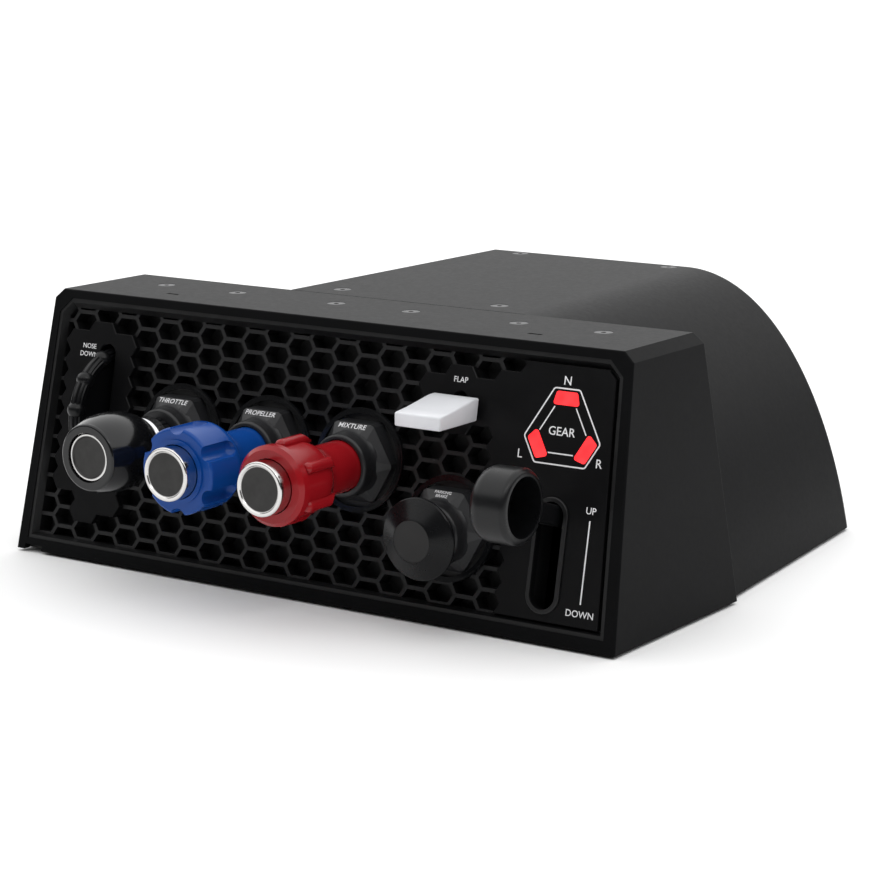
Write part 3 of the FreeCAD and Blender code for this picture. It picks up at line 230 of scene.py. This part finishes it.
# ------------------------------------------------------------------ node helpers
class Finish:
    """A procedural finish: one shader, with surface detail added step by step."""

    def __init__(self, name, rough=0.4, metal=0.0, specular=0.5):
        self.material = bpy.data.materials.new(name)
        self.material.use_nodes = True
        self.tree = self.material.node_tree
        self.tree.nodes.clear()
        output = self.tree.nodes.new("ShaderNodeOutputMaterial")
        self.shader = self.tree.nodes.new("ShaderNodeBsdfPrincipled")
        self.shader.inputs["Roughness"].default_value = rough
        self.shader.inputs["Metallic"].default_value = metal
        self.shader.inputs["Specular IOR Level"].default_value = specular
        self.tree.links.new(self.shader.outputs["BSDF"], output.inputs["Surface"])
        self.places = self.tree.nodes.new("ShaderNodeTexCoord")
        self.normal = None

    def link(self, source, target):
        self.tree.links.new(source, target)

    def stretched(self, scale):
        """Surface places, stretched by three factors."""
        mapping = self.tree.nodes.new("ShaderNodeMapping")
        mapping.inputs["Scale"].default_value = scale
        self.link(self.places.outputs["Object"], mapping.inputs["Vector"])
        return mapping.outputs["Vector"]

    def noise(self, scale, detail=3.0, rough=0.5, stretch=None):
        node = self.tree.nodes.new("ShaderNodeTexNoise")
        node.inputs["Scale"].default_value = scale
        node.inputs["Detail"].default_value = detail
        node.inputs["Roughness"].default_value = rough
        source = self.stretched(stretch) if stretch else self.places.outputs["Object"]
        self.link(source, node.inputs["Vector"])
        return node.outputs["Fac"]

    def colour(self, base, scale=60.0, amount=0.12, tint=(1.0, 1.0, 1.0)):
        """A colour that drifts a little lighter and darker over the surface."""
        ramp = self.tree.nodes.new("ShaderNodeValToRGB")
        dark = [max(0.0, c * (1 - amount)) for c in base]
        light = [min(1.0, c * (1 + amount) * t) for c, t in zip(base, tint)]
        ramp.color_ramp.elements[0].position = 0.32
        ramp.color_ramp.elements[1].position = 0.68
        ramp.color_ramp.elements[0].color = (*dark, 1)
        ramp.color_ramp.elements[1].color = (*light, 1)
        self.link(self.noise(scale, 4.0), ramp.inputs["Fac"])
        self.link(ramp.outputs["Color"], self.shader.inputs["Base Color"])
        return self

    def roughness(self, low, high, scale=90.0, stretch=None):
        spread = self.tree.nodes.new("ShaderNodeMapRange")
        spread.inputs["From Min"].default_value = 0.3
        spread.inputs["From Max"].default_value = 0.7
        spread.inputs["To Min"].default_value = low
        spread.inputs["To Max"].default_value = high
        self.link(self.noise(scale, 5.0, 0.6, stretch), spread.inputs["Value"])
        self.link(spread.outputs["Result"], self.shader.inputs["Roughness"])
        return self

    def grain(self, scale, strength, depth, stretch=None):
        """Fine relief; several layers may be stacked."""
        bump = self.tree.nodes.new("ShaderNodeBump")
        bump.inputs["Strength"].default_value = strength
        bump.inputs["Distance"].default_value = depth
        self.link(self.noise(scale, 2.0, 0.55, stretch), bump.inputs["Height"])
        if self.normal is not None:
            self.link(self.normal, bump.inputs["Normal"])
        self.normal = bump.outputs["Normal"]
        self.link(self.normal, self.shader.inputs["Normal"])
        return self

    def coat(self, weight, rough):
        self.shader.inputs["Coat Weight"].default_value = weight
        self.shader.inputs["Coat Roughness"].default_value = rough
        return self

    def distance_from(self, centre, keep=(1.0, 0.0, 1.0)):
        """How far a place lies from an axis through centre; keep drops the axis's own direction."""
        away = self.tree.nodes.new("ShaderNodeVectorMath")
        away.operation = "SUBTRACT"
        away.inputs[1].default_value = centre
        self.link(self.places.outputs["Object"], away.inputs[0])
        flat = self.tree.nodes.new("ShaderNodeVectorMath")
        flat.operation = "MULTIPLY"
        flat.inputs[1].default_value = keep
        self.link(away.outputs["Vector"], flat.inputs[0])
        length = self.tree.nodes.new("ShaderNodeVectorMath")
        length.operation = "LENGTH"
        self.link(flat.outputs["Vector"], length.inputs[0])
        return length.outputs["Value"]


def dress(finish, *names):
    """Give a finish to CAD nodes."""
    for name in names:
        node = NODES[name]
        node.data.materials.clear()
        node.data.materials.append(finish.material)


def shade_smooth(angle=math.radians(32)):
    """Smooth shading with sharp edges kept, on every CAD node."""
    for node in NODES.values():
        if not node.data.has_custom_normals:
            node.data.shade_smooth()
            node.data.set_sharp_from_angle(angle=angle)


# ------------------------------------------------------------------ finishes
def painted_shell(name, colour, rough=(0.45, 0.50)):
    """Fine, nearly matt paint."""
    finish = Finish(name, specular=0.05)
    finish.colour(colour, 35.0, 0.05, (1.0, 1.01, 1.03))
    finish.roughness(*rough, scale=420.0)
    finish.grain(2600.0, 0.10, 0.06 * MM).grain(420.0, 0.05, 0.05 * MM)
    return finish


def moulded_plastic(name, colour, rough, specular=0.35, grain=0.10, scale=1800.0):
    """Satin plastic with a fine mould grain."""
    finish = Finish(name, specular=specular)
    finish.colour(colour, 70.0, 0.10)
    finish.roughness(*rough, scale=160.0)
    finish.grain(scale, grain, 0.06 * MM)
    return finish


def gloss_plastic(name, colour, coat=0.25, rough=(0.20, 0.27), specular=0.35):
    """Smooth plastic under a clear coat."""
    finish = Finish(name, specular=specular)
    finish.colour(colour, 45.0, 0.07)
    finish.roughness(*rough, scale=120.0)
    finish.grain(900.0, 0.03, 0.05 * MM)
    finish.coat(coat, 0.10)
    return finish


def turned_steel(name, colour, rough=(0.28, 0.40)):
    """Steel with fine rings from the lathe."""
    finish = Finish(name, metal=1.0)
    finish.colour(colour, 120.0, 0.10)
    finish.roughness(*rough, scale=300.0, stretch=(1.0, 12.0, 1.0))
    finish.grain(1500.0, 0.10, 0.03 * MM, stretch=(1.0, 9.0, 1.0))
    return finish


def button_metal(name, node, colour):
    """Satin metal in the middle with a polished rim, measured from the button's own axis; the middle
    is also painted in shade, its colour far darker than the rim's.
    """
    low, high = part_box(node)
    radius = (high.x - low.x) / 2
    finish = Finish(name, metal=1.0)
    # Painted shade: the face gets the silver darkened to a small share of the rim's colour.
    finish.colour([FACE_SHADE_SHARE * c for c in colour], 260.0, 0.08)
    away = finish.distance_from(axis_of(node))
    bright = finish.tree.nodes.new("ShaderNodeMapRange")
    bright.inputs["From Min"].default_value = radius * RIM_START
    bright.inputs["From Max"].default_value = radius * RIM_COLOUR_END
    finish.link(away, bright.inputs["Value"])
    # Blend from the painted-shade face colour to the full silver of the rim.
    blend = finish.tree.nodes.new("ShaderNodeMix")
    blend.data_type = "RGBA"
    blend.inputs[MIX_SECOND].default_value = (*colour, 1)
    finish.link(bright.outputs["Result"], blend.inputs[MIX_FACTOR])
    base = finish.shader.inputs["Base Color"]
    finish.link(base.links[0].from_socket, blend.inputs[MIX_FIRST])
    finish.link(blend.outputs[MIX_RESULT], base)
    rim = finish.tree.nodes.new("ShaderNodeMapRange")
    rim.inputs["From Min"].default_value = radius * RIM_START
    rim.inputs["From Max"].default_value = radius * RIM_GLOSS_END
    rim.inputs["To Min"].default_value = 0.42
    rim.inputs["To Max"].default_value = 0.12
    finish.link(away, rim.inputs["Value"])
    finish.link(rim.outputs["Result"], finish.shader.inputs["Roughness"])
    finish.grain(3200.0, 0.12, 0.03 * MM)
    return finish


def lit_lens(name, colour):
    """A red lens that glows, its glow drifting brighter and darker over the surface."""
    finish = Finish(name, rough=0.25)
    finish.colour(colour, 200.0, 0.06)
    glow = finish.tree.nodes.new("ShaderNodeValToRGB")
    glow.color_ramp.elements[0].position = 0.25
    glow.color_ramp.elements[1].position = 0.8
    glow.color_ramp.elements[0].color = (colour[0] * 0.85, colour[1], colour[2], 1)
    glow.color_ramp.elements[1].color = (1.0, colour[1] + 0.04, colour[2] + 0.04, 1)
    finish.link(finish.noise(160.0, 1.0), glow.inputs["Fac"])
    finish.link(glow.outputs["Color"], finish.shader.inputs["Emission Color"])
    finish.shader.inputs["Emission Strength"].default_value = 0.95
    finish.grain(700.0, 0.04, 0.05 * MM)
    return finish


# ------------------------------------------------------------------ panel places
def webs_at_foot(size):
    """The front of the cell webs, level with the foot of the front housing."""
    return FRONT_FOOT_Y + size.recess / math.cos(size.lean)


def panel_matrix(across, up, out, tilt=0.0):
    """A place on the leaning panel: millimetres across, up along it and out from the cell webs."""
    size = sizes()
    lean = size.lean
    sideways = Vector((1, 0, 0))
    upwards = Vector((0, math.sin(lean), math.cos(lean)))
    outwards = Vector((0, -math.cos(lean), math.sin(lean)))
    place = Vector((0, webs_at_foot(size), FRONT_FOOT_Z))
    place += sideways * across * MM + upwards * up * MM + outwards * out
    turn = Matrix((sideways, upwards, outwards)).transposed().to_4x4()
    return Matrix.Translation(place) @ turn @ Matrix.Rotation(tilt, 4, "Z")


def link_piece(name, mesh, material, body):
    """Add a piece to the scene that rides on a body."""
    piece = bpy.data.objects.new(name, mesh)
    bpy.context.scene.collection.objects.link(piece)
    mesh.materials.clear()
    mesh.materials.append(material)
    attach(piece, body)
    return piece


def letter_mesh(name, words, height, thickness, weight, line_gap=1.0, widest=1.0):
    """Flat raised lettering with capitals of a given height, centred on the origin.

    Words that would be wider than widest are narrowed to it.
    """
    curve = bpy.data.curves.new(name, "FONT")
    curve.body = words
    curve.align_x = "CENTER"
    curve.size = 1.0
    curve.offset = weight
    curve.space_line = line_gap
    curve.resolution_u = 4
    curve.extrude = 0.5
    holder = bpy.data.objects.new(name, curve)
    bpy.context.scene.collection.objects.link(holder)
    bpy.context.view_layer.update()
    graph = bpy.context.evaluated_depsgraph_get()
    mesh = bpy.data.meshes.new_from_object(holder.evaluated_get(graph))
    bpy.data.objects.remove(holder)
    bpy.data.curves.remove(curve)
    ys = [v.co.y for v in mesh.vertices]
    xs = [v.co.x for v in mesh.vertices]
    lines = words.count("\n")
    tall = (max(ys) - min(ys)) - lines * line_gap
    factor = height / tall
    narrow = min(factor, widest / (max(xs) - min(xs)))
    middle = Vector(((max(xs) + min(xs)) / 2, (max(ys) + min(ys)) / 2, -0.5))
    mesh.transform(Matrix.Diagonal((narrow, factor, thickness, 1)) @ Matrix.Translation(-middle))
    mesh.name = name
    return mesh


def rounded_path(corners, radius, steps=5):
    """A closed path with its corners rounded."""
    path = []
    count = len(corners)
    for i in range(count):
        here = Vector(corners[i])
        back = (Vector(corners[i - 1]) - here).normalized()
        ahead = (Vector(corners[(i + 1) % count]) - here).normalized()
        half = back.angle(ahead) / 2
        reach = radius / math.tan(half)
        middle = here + (back + ahead).normalized() * radius / math.sin(half)
        start = here + back * reach - middle
        end = here + ahead * reach - middle
        sweep = start.angle_signed(end)
        for k in range(steps + 1):
            turn = -sweep * k / steps
            x = start.x * math.cos(turn) - start.y * math.sin(turn)
            y = start.x * math.sin(turn) + start.y * math.cos(turn)
            path.append(middle + Vector((x, y)))
    return path


def stroke_mesh(name, path, width, thickness, closed):
    """A flat raised line of even width along a path of 2-D points."""
    count = len(path)
    sides = []
    for i in range(count):
        before = path[i - 1] if closed or i else path[i]
        after = path[(i + 1) % count] if closed or i < count - 1 else path[i]
        into = (path[i] - before).normalized() if (path[i] - before).length else None
        out = (after - path[i]).normalized() if (after - path[i]).length else None
        into = into or out
        out = out or into
        mean = (into + out).normalized()
        across = Vector((-mean.y, mean.x))
        spread = width / 2 / max(0.3, mean.dot(into))
        sides.append((path[i] + across * spread, path[i] - across * spread))
    verts = []
    for left, right in sides:
        verts += [(left.x, left.y, thickness), (right.x, right.y, thickness),
                  (right.x, right.y, 0), (left.x, left.y, 0)]
    faces = []
    spans = count if closed else count - 1
    for i in range(spans):
        a, b = 4 * i, 4 * ((i + 1) % count)
        for k in range(4):
            n = (k + 1) % 4
            faces.append((a + k, b + k, b + n, a + n))
    if not closed:
        faces += [(0, 1, 2, 3), (4 * count - 1, 4 * count - 2, 4 * count - 3, 4 * count - 4)]
    mesh = bpy.data.meshes.new(name)
    mesh.from_pydata(verts, [], faces)
    mesh.validate()
    mesh.update()
    return mesh


def white_ink():
    """The one white ink of all the printed marks."""
    existing = bpy.data.materials.get("white_ink")
    if existing:
        return existing
    finish = Finish("white_ink", specular=0.3)
    finish.colour(colours().lettering, 500.0, 0.06)
    finish.roughness(0.45, 0.6, scale=400.0)
    finish.grain(2500.0, 0.05, 0.02 * MM)
    return finish.material


def print_on_panel(name, mesh, across, up, tilt=0.0):
    """Lay a flat printed mark on a legend plate."""
    mesh.transform(panel_matrix(across, up, sizes().plate + INK_GAP, tilt))
    return link_piece(name, mesh, white_ink(), "base")


# ------------------------------------------------------------------ operators
class QUADRANT_OT_finish_housings(bpy.types.Operator):
    """Paint the housings and finish the base plates and feet"""

    bl_idname = "quadrant.finish_housings"
    bl_label = "Finish housings"

    def execute(self, context):
        tone = colours()
        dress(painted_shell("housing_paint", tone.housing), "front_housing", "rear_housing")
        dress(moulded_plastic("frame_plastic", tone.housing, (0.34, 0.44), 0.4),
              "bezel_frame", "gear_slot_rim")
        dress(moulded_plastic("base_plastic", (0.01, 0.01, 0.01), (0.55, 0.68)),
              "base_plate", "rear_base_plate")
        dress(moulded_plastic("foot_rubber", (0.012, 0.012, 0.012), (0.75, 0.88), 0.25, 0.25, 900.0),
              "rubber_feet")
        return {"FINISHED"}


class QUADRANT_OT_finish_panel(bpy.types.Operator):
    """Finish the cell panel, the legend plates, the rings and the guides"""

    bl_idname = "quadrant.finish_panel"
    bl_label = "Finish panel"

    def execute(self, context):
        tone = colours()
        dress(moulded_plastic("cell_plastic", tone.panel, (0.42, 0.55), 0.35), "control_panel")
        plate = Finish("legend_plate", specular=0.12)
        plate.colour(tone.plate, 50.0, 0.08)
        plate.roughness(0.30, 0.38, scale=110.0)
        plate.grain(1200.0, 0.04, 0.04 * MM)
        dress(plate, "trim_plate", "gear_plate")
        dress(gloss_plastic("ring_gloss", tone.black, 0.2, (0.14, 0.2), 0.3),
              "throttle_ring", "propeller_ring", "mixture_ring", "brake_ring")
        dress(moulded_plastic("guide_plastic", tone.guide, (0.34, 0.46), 0.4, 0.16, 2200.0),
              "throttle_bushing", "propeller_bushing", "mixture_bushing", "brake_bushing")
        return {"FINISHED"}


class QUADRANT_OT_finish_knobs(bpy.types.Operator):
    """Finish the knobs, the trim wheel, the paddle and the gear lever"""

    bl_idname = "quadrant.finish_knobs"
    bl_label = "Finish knobs"

    def execute(self, context):
        tone = colours()
        dress(gloss_plastic("throttle_black", tone.black, 0.35, (0.14, 0.18), 0.25),
              "throttle_knob")
        dress(gloss_plastic("propeller_blue", tone.blue, 0.08, (0.2, 0.26), 0.2),
              "propeller_knob")
        dress(gloss_plastic("mixture_red", tone.red, 0.12, (0.2, 0.26), 0.22), "mixture_knob")
        dress(moulded_plastic("brake_black", tone.black, (0.22, 0.30), 0.18, 0.05), "brake_knob")
        dress(moulded_plastic("brake_cap_grey", (0.015, 0.0147, 0.0147), (0.40, 0.5), 0.25),
              "brake_cap")
        dress(moulded_plastic("trim_black", tone.black, (0.26, 0.34), 0.25, 0.08), "trim_wheel")
        dress(gloss_plastic("paddle_white", tone.paddle, 0.2, (0.32, 0.42)), "flap_paddle")
        dress(moulded_plastic("lever_black", tone.black, (0.32, 0.42), 0.3),
              "gear_arm", "flap_arm")
        dress(moulded_plastic("gear_knob_black", tone.black, (0.26, 0.34), 0.3, 0.06),
              "gear_knob")
        return {"FINISHED"}


def paddle_profile(size, back, level):
    """The flap paddle's side view as (y, z) corners: flat under, and hollowed up to its top."""
    drop = 0.35             # share of the back's height that lies below level
    undercut = 0.06         # share of the length where the underside stops short
    plateau = 0.88          # share of the length where the flat top starts
    hollow_end = 0.84       # share of the length where the hollow would meet the top
    hollow_bend = 1.25      # how far the hollow bends
    steps = (0.25, 0.5, 0.68, 0.80)
    long = size.paddle_long
    front = back - long
    under = level - drop * size.paddle_tall
    top = under + size.paddle_tall
    lip = under + size.paddle_front
    corners = [(back - undercut * long, under), (front, under), (front, lip)]
    for step in steps:
        rise = (top - lip) * (step / hollow_end) ** hollow_bend
        corners.append((front + step * long, lip + rise))
    return corners + [(front + plateau * long, top), (back, top)]


class QUADRANT_OT_shape_paddle(bpy.types.Operator):
    """Shape the flap paddle: flat under, hollowed on top and tall at its back"""

    bl_idname = "quadrant.shape_paddle"
    bl_label = "Shape flap paddle"

    def execute(self, context):
        size = sizes()
        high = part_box("flap_paddle")[1]
        middle = axis_of("flap_paddle")
        profile = paddle_profile(size, high.y, middle.z)
        mesh = self.rounded_prism(profile, middle.x, size.paddle_half, size.paddle_edge)
        material = NODES["flap_paddle"].data.materials[0]
        piece = link_piece("flap_paddle_shape", mesh, material, "flap_lever")
        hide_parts("flap_paddle")
        return {"FINISHED"}

    def rounded_prism(self, profile, middle, half, edge):
        """A side view drawn out to half on each side of middle, with its sharp edges rounded."""
        shape = bmesh.new()
        left, right = ([shape.verts.new((x, y, z)) for y, z in profile]
                       for x in (middle - half, middle + half))
        shape.faces.new(left)
        shape.faces.new(list(reversed(right)))
        count = len(profile)
        for i in range(count):
            k = (i + 1) % count
            shape.faces.new((left[k], left[i], right[i], right[k]))
        bmesh.ops.recalc_face_normals(shape, faces=shape.faces)
        sharp = [e for e in shape.edges if e.calc_face_angle(0.0) > math.radians(25)]
        bmesh.ops.bevel(shape, geom=sharp, offset=edge, segments=3, profile=0.5, affect="EDGES")
        mesh = bpy.data.meshes.new("paddle_shape")
        shape.to_mesh(mesh)
        shape.free()
        mesh.shade_smooth()
        mesh.set_sharp_from_angle(angle=math.radians(40))
        return mesh


class QUADRANT_OT_finish_metal(bpy.types.Operator):
    """Finish the buttons, rods, screws, nuts, brackets and socket"""

    bl_idname = "quadrant.finish_metal"
    bl_label = "Finish metal"

    def execute(self, context):
        tone = colours()
        for name in ("throttle_button", "propeller_button", "mixture_button"):
            dress(button_metal(name + "_metal", name, tone.silver), name)
        dress(turned_steel("bright_rod", (0.55, 0.56, 0.58)),
              "throttle_shaft", "propeller_shaft", "mixture_shaft", "brake_shaft")
        dress(turned_steel("bright_collar", (0.66, 0.66, 0.68), (0.14, 0.24)), "friction_collar")
        dress(gloss_plastic("friction_black", tone.black, 0.3, (0.26, 0.34)), "friction_nut")
        dress(turned_steel("black_screw", (0.03, 0.03, 0.032), (0.34, 0.46)),
              "top_screws", "rear_screws")
        dress(turned_steel("plated_steel", (0.42, 0.43, 0.45)),
              "panel_nuts", "trim_bracket", "flap_bracket", "gear_bracket", "data_inlet")
        return {"FINISHED"}


class QUADRANT_OT_light_lamps(bpy.types.Operator):
    """Light the three gear lamps"""

    bl_idname = "quadrant.light_lamps"
    bl_label = "Light gear lamps"

    def execute(self, context):
        dress(lit_lens("lamp_red", colours().lamp), "gear_lamps")
        return {"FINISHED"}


class QUADRANT_OT_print_plates(bpy.types.Operator):
    """Print the words and the travel line on the legend plates"""

    bl_idname = "quadrant.print_plates"
    bl_label = "Print legend plates"

    def execute(self, context):
        size = sizes()
        small, plate, display = size.small_letters, size.plate_letters, size.display_letters
        # Name, words, height, millimetres across and up the panel, gap between lines.
        legends = (
            ("letters_nose", "NOSE\nDOWN", small, -134.8, 97.9, 1.18),
            ("letters_flap", "FLAP", 2.4 * MM, 75.2, 105.5, 1.0),
            ("letters_gear", "GEAR", display, 128.2, 88.9, 1.0),
            ("letters_n", "N", display, 128.3, 110.5, 1.0),
            ("letters_l", "L", display, 108.9, 77.6, 1.0),
            ("letters_r", "R", display, 147.8, 77.5, 1.0),
            ("letters_up", "UP", plate, 146.7, 57.6, 1.0),
            ("letters_down", "DOWN", plate, 146.7, 14.1, 1.0),
        )
        for name, words, height, across, up, gap in legends:
            mesh = letter_mesh(name, words, height, size.ink, 0.004, gap)
            print_on_panel(name, mesh, across, up)
        travel = stroke_mesh("travel_line", [Vector((0, 53.4 * MM)), Vector((0, 18.2 * MM))],
                             size.line, size.ink, False)
        print_on_panel("travel_line", travel, 146.6, 0.0)
        return {"FINISHED"}


class QUADRANT_OT_print_guides(bpy.types.Operator):
    """Print each control's name on the upper sloped flat of its six-sided guide"""

    bl_idname = "quadrant.print_guides"
    bl_label = "Print guide names"

    def execute(self, context):
        size = sizes()
        tall = size.guide_letters
        names = (("throttle", "THROTTLE", 1.0, tall), ("propeller", "PROPELLER", 1.0, tall),
                 ("mixture", "MIXTURE", 1.0, tall), ("brake", "PARKING\nBRAKE", 0.95, 0.58 * tall))
        for control, words, gap, height in names:
            axis = axis_of(control + "_bushing")
            level = axis_of(control + "_shaft").z
            webs = webs_at_foot(size) + (level - FRONT_FOOT_Z) * math.tan(size.lean)
            place = Vector((axis.x, webs - size.guide_ahead, level + size.guide_out))
            sideways = Vector((1, 0, 0))
            backwards = Vector((0, math.cos(size.guide_slope), math.sin(size.guide_slope)))
            outwards = Vector((0, -math.sin(size.guide_slope), math.cos(size.guide_slope)))
            turn = Matrix((sideways, backwards, outwards)).transposed().to_4x4()
            mesh = letter_mesh("letters_" + control, words, height, size.ink, 0.006, gap,
                               size.guide_width)
            mesh.transform(Matrix.Translation(place + outwards * INK_GAP) @ turn)
            link_piece("letters_" + control, mesh, white_ink(), "base")
        return {"FINISHED"}


class QUADRANT_OT_print_display(bpy.types.Operator):
    """Print the outline and the inner lines of the three-lamp gear display"""

    bl_idname = "quadrant.print_display"
    bl_label = "Print gear display"

    def execute(self, context):
        size = sizes()
        corners = []
        for i in range(6):
            first, second = size.display_near, size.display_far
            if i % 2 == 0:
                first, second = second, first
            a = math.radians(90 - 60 * i)
            b = math.radians(30 - 60 * i)
            spread = math.sin(b - a)
            x = (first * math.sin(b) - second * math.sin(a)) / spread
            y = (second * math.cos(a) - first * math.cos(b)) / spread
            corners.append((x, y))
        outline = stroke_mesh("display_outline", rounded_path(corners, size.display_round),
                              size.line, size.ink, True)
        print_on_panel("display_outline", outline, DISPLAY_ACROSS, DISPLAY_UP)
        half, below = 6.2 * MM, 9.6 * MM
        for i in range(3):
            turn = math.radians(120 * i)
            run = [Vector((-half, -below)), Vector((half, -below))]
            line = stroke_mesh("display_line", run, size.line * 0.9, size.ink, False)
            print_on_panel(f"display_line_{i + 1}", line, DISPLAY_ACROSS, DISPLAY_UP, turn)
        return {"FINISHED"}


class QUADRANT_OT_set_stage(bpy.types.Operator):
    """Lay the pale floor, hang the studio lights and set the camera"""

    bl_idname = "quadrant.set_stage"
    bl_label = "Set stage"

    def execute(self, context):
        studio = getattr(context.scene, STUDIO)
        floor_finish = Finish("floor_pale", rough=0.8, specular=0.1)
        floor_finish.colour(colours().floor, 3.0, 0.01)
        mesh = bpy.data.meshes.new("floor")
        half = 30.0
        corners = [(-half, -half, 0), (half, -half, 0), (half, half, 0), (-half, half, 0)]
        mesh.from_pydata(corners, [], [(0, 1, 2, 3)])
        mesh.materials.append(floor_finish.material)
        floor = bpy.data.objects.new("floor", mesh)
        context.scene.collection.objects.link(floor)

        world = bpy.data.worlds.new("studio")
        world.use_nodes = True
        world.node_tree.nodes["Background"].inputs["Color"].default_value = (1, 1, 1, 1)
        world.node_tree.nodes["Background"].inputs["Strength"].default_value = studio.sky
        context.scene.world = world

        self.hang_overhead(Vector((-0.12, 0.25, 1.0)), studio.key)
        self.hang("back", Vector((-1.8, 3.2, 0.9)), (5.0, 1.6), studio.back)
        self.hang("strip", Vector((0.85, -0.45, 1.1)), (0.9, 0.07), studio.strip)
        self.aim_camera(context, studio)
        context.scene.view_settings.view_transform = "Standard"
        return {"FINISHED"}

    def hang_overhead(self, away, strength):
        """A very wide sun that shines from the direction away."""
        lamp = bpy.data.lights.new("overhead", "SUN")
        lamp.energy = strength
        lamp.angle = math.radians(140)
        holder = bpy.data.objects.new("overhead", lamp)
        holder.rotation_euler = (-away).to_track_quat("-Z", "Y").to_euler()
        bpy.context.scene.collection.objects.link(holder)

    def hang(self, name, place, size, power):
        """A lit rectangle at a place, turned to the middle of the object."""
        target = Vector((0, 0, 0.06))
        lamp = bpy.data.lights.new(name, "AREA")
        lamp.shape = "RECTANGLE"
        lamp.size, lamp.size_y = size
        lamp.energy = power
        holder = bpy.data.objects.new(name, lamp)
        holder.location = place
        holder.rotation_euler = (target - place).to_track_quat("-Z", "Y").to_euler()
        bpy.context.scene.collection.objects.link(holder)

    def aim_camera(self, context, studio):
        camera = bpy.data.cameras.new("camera")
        camera.lens = studio.lens
        camera.sensor_width = 36.0
        camera.clip_start = 0.01
        camera.clip_end = 100.0
        holder = bpy.data.objects.new("camera", camera)
        around, above = studio.azimuth, studio.elevation
        look = Vector((-math.sin(around) * math.cos(above), math.cos(around) * math.cos(above),
                       -math.sin(above)))
        turn = look.to_track_quat("-Z", "Y").to_matrix().to_4x4()
        turn = turn @ Matrix.Rotation(studio.roll, 4, "Z")
        holder.matrix_world = Matrix.Translation(Vector(studio.place)) @ turn
        context.scene.collection.objects.link(holder)
        context.scene.camera = holder


class QUADRANT_PT_panel(bpy.types.Panel):
    """The quadrant's finishes, prints and stage"""

    bl_idname = "QUADRANT_PT_panel"
    bl_label = "Throttle quadrant"
    bl_space_type = "VIEW_3D"
    bl_region_type = "UI"
    bl_category = "Quadrant"

    def draw(self, context):
        for group in (SIZES, COLOURS, STUDIO):
            values = getattr(context.scene, group)
            box = self.layout.box()
            for key in values.__annotations__:
                box.prop(values, key)
        for operator in OPERATORS:
            self.layout.operator(operator.bl_idname)


GROUPS = ((SIZES, QuadrantSizes), (COLOURS, QuadrantColours), (STUDIO, QuadrantStudio))
OPERATORS = (
    QUADRANT_OT_finish_housings,
    QUADRANT_OT_finish_panel,
    QUADRANT_OT_finish_knobs,
    QUADRANT_OT_shape_paddle,
    QUADRANT_OT_finish_metal,
    QUADRANT_OT_light_lamps,
    QUADRANT_OT_print_plates,
    QUADRANT_OT_print_guides,
    QUADRANT_OT_print_display,
    QUADRANT_OT_set_stage,
)


def register():
    for name, group in GROUPS:
        bpy.utils.register_class(group)
        setattr(bpy.types.Scene, name, bpy.props.PointerProperty(type=group))
    for operator in OPERATORS:
        bpy.utils.register_class(operator)
    bpy.utils.register_class(QUADRANT_PT_panel)


def unregister():
    bpy.utils.unregister_class(QUADRANT_PT_panel)
    for operator in reversed(OPERATORS):
        bpy.utils.unregister_class(operator)
    for name, group in reversed(GROUPS):
        delattr(bpy.types.Scene, name)
        bpy.utils.unregister_class(group)


def main():
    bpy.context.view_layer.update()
    register()
    shade_smooth()
    bpy.ops.quadrant.finish_housings()
    bpy.ops.quadrant.finish_panel()
    bpy.ops.quadrant.finish_knobs()
    bpy.ops.quadrant.shape_paddle()
    bpy.ops.quadrant.finish_metal()
    bpy.ops.quadrant.light_lamps()
    bpy.ops.quadrant.print_plates()
    bpy.ops.quadrant.print_guides()
    bpy.ops.quadrant.print_display()
    bpy.ops.quadrant.set_stage()


if __name__ == "__main__":
    main()
